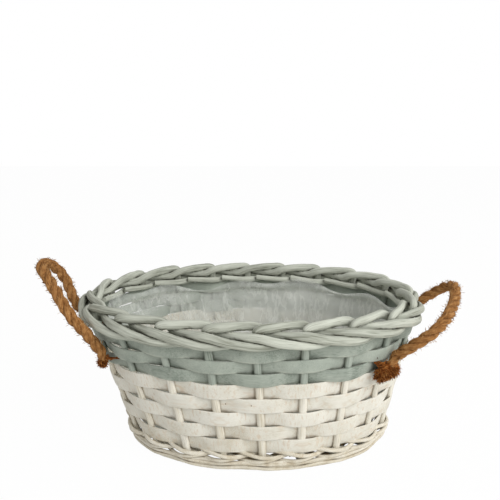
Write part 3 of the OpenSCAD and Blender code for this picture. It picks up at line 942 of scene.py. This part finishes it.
# %% Stakes and border
BORDER = [
    [0, 0.05, 1.2, 0.95], [-0.01, 0.28, 2.1, 1], [0.01, 0.34, 2.4, 1.05], [0.05, 0.28, 2.52, 1.08],
    [0.3, -0.12, 2.66, 1.05], [0.6, -0.6, 2.68, 1], [1, -1.15, 2.4, 1],
    [1.25, -0.75, 1.7, 1], [1.5, -0.1, 1.6, 1], [2, 1.15, 1.85, 1], [2.5, 1.25, 1.15, 1],
    [3, 1.15, 0.65, 0.95], [3.5, 0.15, 0.55, 0.9], [4, -1.12, 0.6, 0.82], [4.4, -1.2, 0.78, 0.77],
    [4.75, -1.26, 1.03, 0.72],
]


def border_point(u, share):
    spot = on_wall(u + share[0], WALL_H) + level_outward(u + share[0], WALL_H) * share[1] * ROD_D
    return spot + [0, 0, share[2] * ROD_D]


def stake_line(k):
    u = stake_u(k)
    elbow, inner, up = stake_foot(k), -ray_out(k), unit(wall_dir(angle_at(u)))
    points = [elbow + inner * FOOT_L, elbow + inner * 8, elbow + inner * 3.2 + up * 0.3,
              elbow + inner * 1.0 + up * 1.6, elbow + up * 5]
    sizes = [FOOT_D, FOOT_D, FOOT_D, FOOT_D, STAKE_D]
    for z in np.linspace(20, WALL_H - 6, 6):
        points.append(on_wall(u, z))
        sizes.append(STAKE_D)
    points.append(on_wall(u, WALL_H + ROW_GAP))
    sizes.append(STAKE_D)
    points += [border_point(u, s) for s in BORDER]
    sizes += [s[3] * ROD_D for s in BORDER]
    line, radius = smooth_line(points, np.array(sizes) / 2, 2.0)
    in_wall = np.interp(line[:, 2], [6, 14, WALL_H - 8, WALL_H + 2], [0, 1, 1, 0])
    in_wall[np.argmax(line[:, 2] > WALL_H + 2):] = 0
    return line, radius, in_wall


# How much thicker bark makes a rod in the wall and in the border, and how flat it is pressed there
WALL_SWELL, BORDER_SWELL = 0.13, 0.16
WALL_PRESS, BORDER_PRESS = 0.34, 0.22


def stakes_and_border():
    lines, thick, shade, press = [], [], [], []
    chance = np.random.RandomState(5)
    for k in range(STAKES):
        line, radius, in_wall = stake_line(k)
        lines.append(line)
        in_border = np.arange(len(line)) > np.argmax(line[:, 2] > WALL_H + 2)
        radius = radius * (1 + 0.05 * drift(np.arange(len(line)) * 2.0, 40 + k, 150))
        radius = radius * (1 + WALL_SWELL * in_wall + BORDER_SWELL * in_border)
        thick.append(radius * chance.uniform(0.97, 1.05) * MM)
        shade.append(np.full(len(line), chance.uniform(0, 1)))
        flat = np.outer(np.sqrt(WALL_PRESS * in_wall), outward(stake_u(k), WALL_H / 2))
        out = line - [LEAN, 0, 0]
        out[:, 2] = 0
        out /= np.linalg.norm(out, axis=1)[:, None]
        press.append(flat + out * np.sqrt(BORDER_PRESS * in_border)[:, None])
    guide = guide_lines("stakes_guide", lines, thick=thick, shade=shade, press=press)
    return grow(
        "stakes_and_border", guide, ROD_TREE, ROD_FINISH, sides=14, roughness_height=1.1 * MM,
        crevice_reach=4 * MM, seed=1)


stakes = stakes_and_border()
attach(stakes, "basket")
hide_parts(*[f"stake_{k:02d}" for k in range(1, STAKES + 1)])

# %% [markdown]
# Chip strips
#
# A strip passes outside one stake and inside the next. Its line alone can't tell which way
# the flat side faces, so each guide point carries two directions: rise, up the wall, and
# facing, out of it. The tree sweeps a small outline along the line and then sets every
# point from those directions, which keeps the strip flat however its line bends.

# %% Tree for flat strips
STRIP_OUTLINE = [
    (-0.965, 0.78), (-0.8, 1.0), (-0.4, 1.16), (0.0, 1.22), (0.4, 1.16), (0.8, 1.0), (0.965, 0.78),
    (1.0, 0.0), (0.965, -0.78), (0.8, -0.95), (0.0, -0.8), (-0.8, -0.95), (-0.965, -0.78), (-1.0, 0.0),
]


def outline_object(name, outline):
    count = len(outline)
    return new_object(name, [(x, y, 0) for x, y in outline], [(i, (i + 1) % count) for i in range(count)])


def strip_tree(outline):
    bench = new_tree("chip_strip", edge_waver="float", near="object")
    start = bench.start.outputs
    shape = bench.add("GeometryNodeObjectInfo", {"Object": outline})
    ring = bench.add("GeometryNodeMeshToCurve", {0: bench.out(shape, "Geometry")})
    # The size hardly matters here: every point is set anew below
    strip = swept(bench, ring, 2 * MM, False)
    parts = bench.add("ShaderNodeSeparateXYZ", {0: named_vector(bench, "around")})
    across, through = bench.out(parts, "X"), bench.out(parts, "Y")
    down = bench.plus(named(bench, "along"), bench.times(start["Seed"], 0.77))
    down = bench.plus(down, bench.times(named(bench, "shade"), 5.0))
    edge = bench.add("ShaderNodeCombineXYZ", {"X": across, "Z": bench.times(down, 60.0)})
    waver = bench.minus(bench.noise(edge, 1.6, 3.0, 0.55), 0.5)
    wide = bench.plus(named(bench, "half_width"), bench.times(waver, start["Edge waver"]))
    rise = bench.scaled(named_vector(bench, "rise"), bench.times(across, wide))
    thick = bench.times(through, named(bench, "half_thick"))
    tilt = bench.times(bench.times(across, -1.0), named(bench, "tilt"))
    facing = bench.scaled(named_vector(bench, "facing"), bench.plus(thick, tilt))
    spot = bench.vector("ADD", named_vector(bench, "spot"), bench.vector("ADD", rise, facing))
    strip = bench.add("GeometryNodeSetPosition", {"Geometry": strip, "Position": spot})
    strip = bench.add("GeometryNodeFlipFaces", {0: strip})
    grain = bench.add("ShaderNodeCombineXYZ", {
        "X": bench.times(across, wide), "Y": bench.times(through, 0.6 * MM), "Z": down})
    strip = keep(bench, strip, "grain", grain, "FLOAT_VECTOR")
    strip = keep(bench, strip, "edge", across)
    stakes_near = bench.add("GeometryNodeObjectInfo", {"Object": start["Near"]})
    both = joined(bench, strip, bench.out(stakes_near, "Geometry"))
    strip = crevices(bench, strip, both, 4 * MM)
    close_tree(bench, strip)
    return bench


outline = outline_object("strip_outline", STRIP_OUTLINE)
STRIP_TREE = strip_tree(outline)

# %% [markdown]
# The eight rows
#
# Where a strip passes a stake it may be a little wider than its row, because the strips above
# and below it pass that stake on the other side. Half way between stakes they all meet in
# the same plane, so there each keeps to its own height. It shows more on the thin green
# strips, which look like rows of lenses, than on the stiff white ones.

# %% Chip rows
# How far a strip stands out of the wall's middle, and how much wider it is outside a stake
GREEN_OUT, WHITE_OUT = 2.35, 1.85
GREEN_LENS, WHITE_LENS = 0.7, 0.25
# How far a strip spreads up and down behind a stake, where the border limits the top one
SPREAD_UP, SPREAD_DOWN, TOP_SPREAD = 0.8, 1.9, 0.15
CHIP_TILT = 0.32
STEPS = 14


def row_side(row):
    return 1 if row % 2 == 0 else -1


def chip_guide(rows, name, extra):
    facts = {key: [] for key in ("rise", "facing", "half_width", "half_thick", "tilt", "shade")}
    lines = []
    chance = np.random.RandomState(extra)
    for row in rows:
        is_green = row <= GREEN_ROWS
        width = chip_w(row)
        middle = CHIP_LOW[row] + width / 2
        line = []
        store = {key: [] for key in facts}
        for i in range(STAKES * STEPS):
            v = i / STEPS
            u = stake_u(v)
            wave = math.cos(math.pi * v)
            push = math.copysign(abs(wave) ** 0.75, wave) * row_side(row)
            is_outside = wave * row_side(row) > 0
            lens = abs(wave) ** 1.5 * (GREEN_LENS if is_green else WHITE_LENS)
            behind = abs(wave) ** 0.75
            top = TOP_SPREAD if row == 1 else (lens if is_outside else SPREAD_UP * behind)
            low = lens if is_outside else SPREAD_DOWN * behind
            z = middle + (top - low) / 2 + sway(u, middle)
            line.append(wall_point(u, z, push * (GREEN_OUT if is_green else WHITE_OUT)))
            store["rise"].append(unit(wall_dir(angle_at(u))))
            store["facing"].append(outward(u, z))
            store["half_width"].append((width / 2 + (top + low) / 2 + 0.12) * MM)
            store["half_thick"].append(CHIP_T / 2 * MM)
            store["tilt"].append(CHIP_TILT * MM * max(0, push))
        shade = 0.5 + 0.5 * drift(np.arange(len(line)) / STEPS, extra + row, STAKES)
        store["shade"] = shade * 0.8 + chance.uniform(-0.2, 0.4)
        lines.append(np.array(line))
        for key in facts:
            facts[key].append(np.array(store[key]))
    return guide_lines(name, lines, closed=True, **facts)


def chips(name, rows, finish, seed):
    guide = chip_guide(rows, name + "_guide", seed)
    piece = grow(name, guide, STRIP_TREE, finish, edge_waver=1.0 * MM, near=stakes, seed=seed)
    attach(piece, "basket")
    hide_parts(*[f"chip_row_{row}" for row in rows])


chips("grey_green_chips", range(1, GREEN_ROWS + 1), GREEN_FINISH, 3)
chips("white_chips", range(GREEN_ROWS + 1, ROWS + 1), WHITE_FINISH, 8)
bpy.data.objects.remove(outline)

# %% [markdown]
# Waling
#
# Four rounds hold the foot, each of two thin rods. The lower two rounds lie outside the bent
# stakes and carry the basket. In the upper two the rods of a pair cross between the stakes.
# Each rod swells and thins, because it is really several short rods laid end to end.

# %% Waling rods
WALE_OUT = STAKE_D / 2 + WALE_D / 2 + WALE_GAP
# Lift that keeps the lowest rods off the floor, and each rod's share of the round's thickness
WALE_LIFT = 0.4
LOWER_SHARE, UPPER_SHARE = 0.8, 0.86
WALE_STEPS = 12


def wale_spot(row, half, v):
    u, z = stake_u(v), WALE_Z[row - 1]
    wave, cross = math.cos(math.pi * v) * half, math.sin(math.pi * v) * half
    if row > 2:
        side = 1 if row == 3 else -1
        out = WALE_OUT * 0.92 * wave
        rise = 1.5 * cross * side
    else:
        out = (WALE_OUT - 1) * (1 - 0.25 * math.sin(math.pi * v) ** 2) - 0.5 * (1 - half)
        rise = 0.9 * (1 + cross) + WALE_LIFT
    return on_wall(u, z) + level_outward(u, z) * out + [0, 0, rise]


def waling():
    lines, thick, shade = [], [], []
    for row in range(1, 5):
        for half in (1, -1):
            places = np.arange(STAKES * WALE_STEPS) / WALE_STEPS
            seed = row * 2 + half
            line = np.array([wale_spot(row, half, v) for v in places])
            low = 0.0 if row == 1 else 0.35
            line = line + np.outer(low * drift(places, 60 + seed, 5), [0, 0, 1])
            lines.append(line)
            size = WALE_D / 2 * (UPPER_SHARE if row > 2 else LOWER_SHARE)
            thick.append(size * (1.0 + 0.13 * drift(places, 70 + seed, 4)) * MM)
            shade.append(0.5 + 0.5 * drift(places, 80 + seed, 7))
    guide = guide_lines("waling_guide", lines, closed=True, thick=thick, shade=shade)
    return grow(
        "waling", guide, ROD_TREE, WALE_FINISH, sides=9, roughness_height=0.5 * MM, crevice_reach=3 * MM,
        seed=2)


waling_rods = waling()
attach(waling_rods, "basket")
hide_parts(*[f"waling_row_{row}" for row in range(1, 5)])

# %% [markdown]
# The base
#
# The sticks are half-round, so the long and the short ones cross with their flat sides
# together. The rows round them are pairs of thin rods. Both follow the same points as the
# CAD model, and each rod of a pair runs on its own side of the middle of its row.

# %% Base rows
BASE_EDGE_IN = WALE_OUT + WALE_D / 2 + ROW_GAP
# The dressed rods are a little thinner than the solids and lifted, to stay off the floor
BAND_LIFT, BAND_SHARE = 0.22, 0.92
BAND_STEP = 2.5
FIRST_ROW_OUT = 2.6
BAND_ROOM = min(BASE_W / 2 - SLATH_EDGE, BASE_L / 2 - SLATH_L / 2 - FAN_OUT) - BASE_EDGE_IN - FIRST_ROW_OUT
BAND_W = BAND_ROOM / BANDS - BAND_GAP
BAND_OUT = STICK_D / 2 + BAND_T / 2 + WEAVE_GAP


def ray_point(k, inset):
    slant = abs(float(ray_out(k) @ level_outward(stake_u(k), FOOT_Z)))
    return slath_point(k) + ray_out(k) * (ray_l(k) - inset / slant)


def pass_side(row, k):
    if row > 2:
        return row_side(row) * row_side(k)
    return row_side(row) * (1 if is_long(k) else row_side(end_x(k) - LONG_STICKS))


def band_point(row, k):
    first = slath_point(k) + ray_out(k) * (BAND_W / 2 + FIRST_ROW_OUT)
    last = ray_point(k, BASE_EDGE_IN + BAND_W / 2)
    return first + (last - first) * (row - 1) / (BANDS - 1)


def band_line(row, aside):
    spots = []
    outer = row > BANDS - 4
    passes = [-STICK_D * 0.4, FOOT_SIDE + FOOT_D * 0.25] if outer else [-STICK_D * 0.42, STICK_D * 0.42]
    for k in range(STAKES):
        way = unit(band_point(row, (k + 1) % STAKES) - band_point(row, (k - 1) % STAKES))
        side = np.cross(way, [0, 0, 1])
        for s in passes:
            spot = band_point(row, k) + way * s / np.linalg.norm(np.cross(way, ray_out(k)))
            spots.append(spot + [0, 0, pass_side(row, k) * BAND_OUT] + side * aside)
    spots = np.array(spots)
    ring = np.vstack([spots[-2:], spots, spots[:2]])
    line, _ = smooth_line(ring, np.zeros(len(ring)), BAND_STEP)
    start = np.argmin(np.linalg.norm(line - spots[0], axis=1))
    end = len(line) - 1 - np.argmin(np.linalg.norm(line[::-1] - spots[0], axis=1))
    return line[start:end]


def base_rows():
    lines, thick, shade = [], [], []
    chance = np.random.RandomState(17)
    for row in range(1, BANDS + 1):
        asides = [0] if row == 1 else [-BAND_W / 4, BAND_W / 4]
        for aside in asides:
            line = band_line(row, aside) + [0, 0, BAND_LIFT]
            lines.append(line)
            uneven = 1 + 0.05 * drift(np.arange(len(line)) * BAND_STEP, row * 3, 60)
            thick.append(BAND_W / 4 * BAND_SHARE * uneven * MM)
            shade.append(np.full(len(line), chance.uniform(0, 1)))
    guide = guide_lines("base_rows_guide", lines, closed=True, thick=thick, shade=shade)
    return grow(
        "base_rows", guide, ROD_TREE, BASE_FINISH, sides=8, roughness_height=0.3 * MM,
        crevice_reach=3 * MM, seed=4)


base_rods = base_rows()
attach(base_rods, "basket")
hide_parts(*[f"base_row_{row}" for row in range(1, BANDS + 1)])

# %% [markdown]
# Half-round base sticks
#
# These are short and plain enough to be built point by point, without a tree. At every step
# along the stick half a circle is set up, level across the stick and straight up or down.

# %% Base sticks
HALF_ROUND = [(math.cos(a), math.sin(a)) for a in np.linspace(0.06, math.pi - 0.06, 9)]
HALF_ROUND = [(0.97, -0.02)] + HALF_ROUND + [(-0.97, -0.02)]


def base_stick(k_from, k_to, half):
    lift = np.array([0, 0, half * WEAVE_GAP / 2])
    points = [ray_point(k_from, BASE_EDGE_IN), slath_point(k_from)]
    points += [slath_point(k_to), ray_point(k_to, BASE_EDGE_IN)]
    return smooth_line([p + lift for p in points], np.zeros(len(points)), 6)[0]


def stick_mesh(name, lines, half):
    verts, faces, grain, shade = [], [], [], []
    count = len(HALF_ROUND)
    for number, line in enumerate(lines):
        base = len(verts)
        ahead = np.gradient(line, axis=0)
        travelled = np.concatenate([[0], np.cumsum(np.linalg.norm(np.diff(line, axis=0), axis=1))])
        for i, spot in enumerate(line):
            side = unit(np.cross([0, 0, 1], ahead[i]))
            for x, y in HALF_ROUND:
                verts.append((spot + (side * x + np.array([0, 0, half * y])) * STICK_D / 2 + SHIFT) * MM)
                grain.append((x * 2.3 * MM, y * 2.3 * MM, travelled[i] * MM + number * 1.7))
                shade.append((number * 0.37) % 1)
        for i in range(len(line) - 1):
            for j in range(count):
                a, b = base + i * count + j, base + i * count + (j + 1) % count
                quad = (a, b, b + count, a + count)
                faces.append(quad if half > 0 else quad[::-1])
        first = tuple(range(base, base + count))
        last = tuple(range(len(verts) - count, len(verts)))
        faces.append(first[::-1] if half > 0 else first)
        faces.append(last if half > 0 else last[::-1])
    piece = new_object(name, verts, faces=faces, grain=grain, shade=shade)
    piece.data.materials.append(BASE_FINISH)
    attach(piece, "basket")
    return piece


long_lines = [base_stick(i - HALF_LONG, STAKES / 2 + HALF_LONG - i, -1) for i in range(LONG_STICKS)]
short_lines = [base_stick(i + HALF_LONG + 1, STAKES - HALF_LONG - 1 - i, 1) for i in range(SHORT_STICKS)]
long_sticks = stick_mesh("long_sticks", long_lines, -1)
short_sticks = stick_mesh("short_sticks", short_lines, 1)
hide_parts("long_base_sticks")
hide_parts("short_base_sticks")

# %% [markdown]
# The film liner
#
# A sheet of clear film is pushed into the basket and trimmed below the border. It creases in
# upright folds where it has to fit the smaller foot, and in fine crumples all over. It is
# drawn as rings from the middle of the floor, out, round the corner and up the wall, each
# moved in and out by a few waves, with fewer and softer ones on the floor.

# %% Finish of the film
def film_finish():
    material, bench = new_finish("clear_film")
    place = place_of(bench)
    tall = bench.vector("MULTIPLY", place, (1, 1, 0.35))
    creases = bench.noise(tall, 48.0, 6.0, 0.62)
    ridge = bench.math("ABSOLUTE", bench.minus(creases, 0.5))
    line = bench.minus(1.0, narrowed(bench, ridge, 0.0, 0.035))
    cloud = narrowed(bench, bench.noise(place, 28.0, 3.0, 0.5), 0.42, 0.66)
    haze = bench.plus(bench.times(line, 0.16), bench.times(cloud, 0.2))
    parts = bench.add("ShaderNodeSeparateXYZ", {0: place})
    height = bench.out(parts, "Z")
    # The film is whiter and less clear towards the floor.
    floor_haze = bench.minus(1.0, narrowed(bench, height, 8 * MM, 60 * MM))
    # Painted reflection: the film grows whiter towards the right, the lamp's side.
    right_side_reflection = bench.times(narrowed(bench, bench.out(parts, "X"), -70 * MM, 80 * MM), 0.34)
    haze = bench.plus(haze, right_side_reflection)
    haze = bench.plus(haze, bench.plus(bench.times(floor_haze, 0.4), 0.06))
    trimmed = narrowed(bench, height, (WALL_H - 4) * MM, (WALL_H + 4) * MM)
    haze = bench.times(haze, bench.minus(1.0, bench.times(trimmed, 0.6)))
    bump = bench.add("ShaderNodeBump", {"Height": creases, "Distance": 1.2 * MM, "Strength": 1.0})
    shader = bench.add("ShaderNodeBsdfPrincipled", {
        "Base Color": seen(242, 244, 238), "Roughness": 0.2, "Alpha": haze, "Normal": bump})
    bench.add("ShaderNodeOutputMaterial", {"Surface": bench.out(shader)})
    return material


FILM_FINISH = film_finish()

# %% Film liner
LINER_IN, LINER_RIM_IN, LINER_RISE, FILM_T = 6.4, 12.5, 8, 0.12
CORNER = 5
FILM_ROUND = 240
# The top edge was cut by hand, so it dips here and there within this height
TRIM_FROM = WALL_H - 16
LINER_Z = FOOT_Z + BAND_OUT + BAND_T / 2 + SEAT_GAP
# Height, how far the film stands in from the wall's middle, and how deep its folds are there
LINER_LEVELS = np.array([
    (LINER_Z, LINER_IN + CORNER, 0), (LINER_Z + CORNER, LINER_IN, 0), (0.45 * WALL_H, LINER_IN, 1),
    (0.93 * WALL_H, LINER_IN + (LINER_RIM_IN - LINER_IN) * 0.15, 0.8), (WALL_H, LINER_RIM_IN, 0.5),
    (WALL_H + LINER_RISE, LINER_RIM_IN, 0.3)])


def creased(u, z):
    t = 2 * math.pi * u / STAKES
    deep = 0.5 + 0.5 * math.sin(7 * t + 0.4)
    deep += 0.5 * math.sin(19 * t + 0.03 * z + 1.0) * math.sin(5 * t + 2)
    deep += 0.32 * math.sin(43 * t - 0.08 * z) * math.sin(3 * t + 0.11 * z)
    deep += 0.2 * math.sin(0.31 * z + 11 * t) * math.sin(4 * t)
    return deep


def trimmed(u, z):
    if z <= TRIM_FROM:
        return z
    dip = 0.5 + 0.5 * math.sin(0.9 * u + 2) * math.sin(2.2 * u)
    return z - (z - TRIM_FROM) * 0.55 * (z - TRIM_FROM) / 24 * dip


def film_rings():
    middle = np.array([LEAN, 0, LINER_Z])
    spots = [STAKES * i / FILM_ROUND for i in range(FILM_ROUND)]
    edge = [on_wall(u, LINER_Z) - level_outward(u, LINER_Z) * (LINER_IN + CORNER) for u in spots]
    rings = []
    for share in (0.12, 0.25, 0.4, 0.55, 0.7, 0.85):
        lifts = [0.25 + 0.25 * math.sin(i * 0.9 + share * 30) for i in range(FILM_ROUND)]
        rings.append([middle + (e - middle) * share + [0, 0, lift] for e, lift in zip(edge, lifts)])
    corner = np.linspace(LINER_Z, LINER_Z + CORNER, 4)[:-1]
    for z in [*corner, *np.linspace(LINER_Z + CORNER, WALL_H + LINER_RISE, 42)]:
        inset, fold = [float(np.interp(z, LINER_LEVELS[:, 0], LINER_LEVELS[:, i])) for i in (1, 2)]
        ring = []
        for u in spots:
            high = trimmed(u, z)
            depth = inset + 1.5 * fold * max(0.0, creased(u, z))
            ring.append(on_wall(u, high) - level_outward(u, high) * depth)
        rings.append(ring)
    return middle, rings


def film_liner():
    around = FILM_ROUND
    middle, rings = film_rings()
    verts = [middle] + [p for ring in rings for p in ring]
    faces = [(0, 1 + i, 1 + (i + 1) % around) for i in range(around)]
    for r in range(len(rings) - 1):
        for i in range(around):
            a, b = 1 + r * around + i, 1 + r * around + (i + 1) % around
            faces.append((a, a + around, b + around, b))
    piece = new_object("film_liner", (np.array(verts) + SHIFT) * MM, faces=faces)
    for polygon in piece.data.polygons:
        polygon.use_smooth = True
    piece.data.materials.append(FILM_FINISH)
    wall = piece.modifiers.new("thickness", "SOLIDIFY")
    wall.thickness = FILM_T * MM
    wall.offset = 0
    area = sum(p.area for p in piece.data.polygons)
    print("film covers", round(area * 1e4), "square centimetres")
    return piece, area


liner, liner_area = film_liner()
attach(liner, "basket")
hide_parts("liner")

# %% [markdown]
# The frayed rope ends
#
# Each end of the rope goes down behind the second chip row and comes out below it, where its
# strands have opened into a brush of cut hairs. The tree grows hairs all over a plain core,
# and most of them lean the way the rope points.

# %% Tree for a brush of hairs
# Along the core: share of the way to the turn, height, distance out, width and thickness in
# rope diameters, and the lean of the outline in degrees
ROPE_END = [
    [0, 0.82, 0, 0.2, 0.08, 0], [0, 0.02, 0, 0.22, 0.085, 0], [0.2, -0.22, 0.14, 0.34, 0.1, 50],
    [0.7, -0.3, 0.52, 0.55, 0.22, 50], [1, -0.46, 0.8, 0.8, 0.3, 20], [1, -0.72, 0.88, 0.95, 0.36, 0],
    [1, -1, 0.92, 1, 0.34, 0], [1, -1.22, 0.94, 1, 0.2, 0],
]


def brush_tree():
    bench = new_tree(
        "brush_of_hairs", hairs_per_area="float", hair_length="float", hair_radius="float", stand="float")
    start = bench.start.outputs
    place = bench.add("GeometryNodeInputPosition")
    core = keep(bench, start["Guide"], "grain", place, "FLOAT_VECTOR")
    core = keep(bench, core, "shade", 0.2)
    lie = bench.scaled(named_vector(bench, "fall"), 0.8)
    density = bench.times(start["Hairs per area"], named(bench, "growth"))
    hairs = hairs_on(bench, core, start, lie, density)
    close_tree(bench, joined(bench, core, hairs))
    return bench


BRUSH_TREE = brush_tree()


CORE_SIDES = 16
BRUSH_HAIRS, BRUSH_HAIR_R, BRUSH_STAND = 3400000.0, 0.17, 0.9


def brush_core(name, tucks, tuft):
    tuck, pivot_place = tucks
    shares = np.array(ROPE_END)
    table = [shares[0]]
    for a, b in zip(shares[:-1], shares[1:]):
        for s in (0.25, 0.5, 0.75, 1.0):
            table.append(a + (b - a) * s)
    verts, fall, growth, faces = [], [], [], []
    count, centres = CORE_SIDES, []
    for s in table:
        u = tuck + (pivot_place - tuck) * s[0] * tuft[0]
        wide = 1 + (tuft[1] - 1) * s[0]
        z = TUCK_Z + s[1] * ROPE_D * (1 + (tuft[2] - 1) * s[0])
        side, out = along(u, z), outward(u, z)
        up = np.cross(out, side)
        lean = math.radians(s[5])
        across = math.cos(lean) * out + math.sin(lean) * up
        centre = wall_point(u, z, s[2] * ROPE_D)
        centres.append(centre)
        for j in range(count):
            o = oval(s[3] * ROPE_D * wide * 0.86, s[4] * ROPE_D * 0.8, 2.6, 2 * math.pi * (j + 0.5) / count)
            verts.append((centre + o[0] * side + o[1] * across + SHIFT) * MM)
            growth.append(max(0.02, (s[0] - 0.5) * 2))
    way = np.gradient(np.array(centres), axis=0)
    for w in way:
        fall += [unit(w)] * count
    rings = len(table)
    for i in range(rings - 1):
        for j in range(count):
            a, b = i * count + j, i * count + (j + 1) % count
            faces.append((a, b, b + count, a + count))
    faces.append(tuple(range(count))[::-1])
    faces.append(tuple(range((rings - 1) * count, rings * count)))
    return new_object(name, verts, faces=faces, fall=fall, growth=growth)


def rope_end(name, tucks, tuft, hair_length, seed):
    core = brush_core(name + "_core", tucks, tuft)
    piece = grow(
        name + "_brush", core, BRUSH_TREE, TUFT_FINISH, hairs_per_area=BRUSH_HAIRS,
        hair_length=hair_length * MM, hair_radius=BRUSH_HAIR_R * MM, stand=BRUSH_STAND, seed=seed)
    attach(piece, "basket")
    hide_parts(name)


LEFT_HAIR_L, RIGHT_HAIR_L = 2.6, 3.4
rope_end("left_front_rope_end", LEFT_TUCKS["front"], LEFT_TUFT, LEFT_HAIR_L, 31)
rope_end("left_back_rope_end", LEFT_TUCKS["back"], LEFT_TUFT, LEFT_HAIR_L, 37)
rope_end("right_front_rope_end", RIGHT_TUCKS["front"], RIGHT_TUFT, RIGHT_HAIR_L, 41)
rope_end("right_back_rope_end", RIGHT_TUCKS["back"], RIGHT_TUFT, RIGHT_HAIR_L, 43)

# %% [markdown]
# Floor and light
#
# The photograph has a white ground and even light from above and the front. The world is
# white for the camera and softer for everything else. One wide lamp above the right front
# gives the rods their soft shadow sides, and the floor shows the camera mostly its own
# white, so that only a faint shadow stays under the basket.

# %% Floor, world and lamp
SKY = 0.54
FLOOR_GLOW = 0.97
LAMP_SIZE, LAMP_WATTS, LAMP_AT, LAMP_AIM = 1.2, 20, (0.95, -0.95, 1.05), (0, 0, 0.06)


def floor_finish():
    material, bench = new_finish("pale_floor")
    rays = bench.add("ShaderNodeLightPath")
    matt = bench.add("ShaderNodeBsdfDiffuse", {"Color": seen(243, 243, 241)})
    glow = bench.add("ShaderNodeEmission", {"Color": (1, 1, 1, 1), "Strength": 1.0})
    share = bench.times(bench.out(rays, "Is Camera Ray"), FLOOR_GLOW)
    both = bench.add("ShaderNodeMixShader", {0: share, 1: bench.out(matt), 2: bench.out(glow)})
    bench.add("ShaderNodeOutputMaterial", {"Surface": bench.out(both)})
    return material


def studio():
    floor = new_object("floor", [(-3, -3, 0), (3, -3, 0), (3, 3, 0), (-3, 3, 0)], faces=[(0, 1, 2, 3)])
    floor.data.materials.append(floor_finish())
    world = bpy.data.worlds.new("studio")
    world.use_nodes = True
    world.node_tree.nodes.clear()
    scene.world = world
    bench = Bench(world.node_tree)
    rays = bench.add("ShaderNodeLightPath")
    clear = bench.math("MAXIMUM", bench.out(rays, "Is Camera Ray"), bench.out(rays, "Is Glossy Ray"))
    clear = bench.math("MAXIMUM", clear, bench.out(rays, "Is Transmission Ray"))
    strength = bench.plus(bench.times(clear, 1 - SKY), SKY)
    sky = bench.add("ShaderNodeBackground", {"Color": (1, 1, 1, 1), "Strength": strength})
    bench.add("ShaderNodeOutputWorld", {"Surface": bench.out(sky)})
    lamp_data = bpy.data.lights.new("window", "AREA")
    lamp_data.size = LAMP_SIZE
    lamp_data.energy = LAMP_WATTS
    lamp = bpy.data.objects.new("window", lamp_data)
    scene.collection.objects.link(lamp)
    lamp.location = LAMP_AT
    target = np.array(LAMP_AIM) - np.array(LAMP_AT)
    lamp.rotation_euler = (math.atan2(math.hypot(target[0], target[1]), -target[2]), 0,
                           math.atan2(-target[0], target[1]))
    print("lamp turned", [round(v, 3) for v in lamp.rotation_euler])


studio()
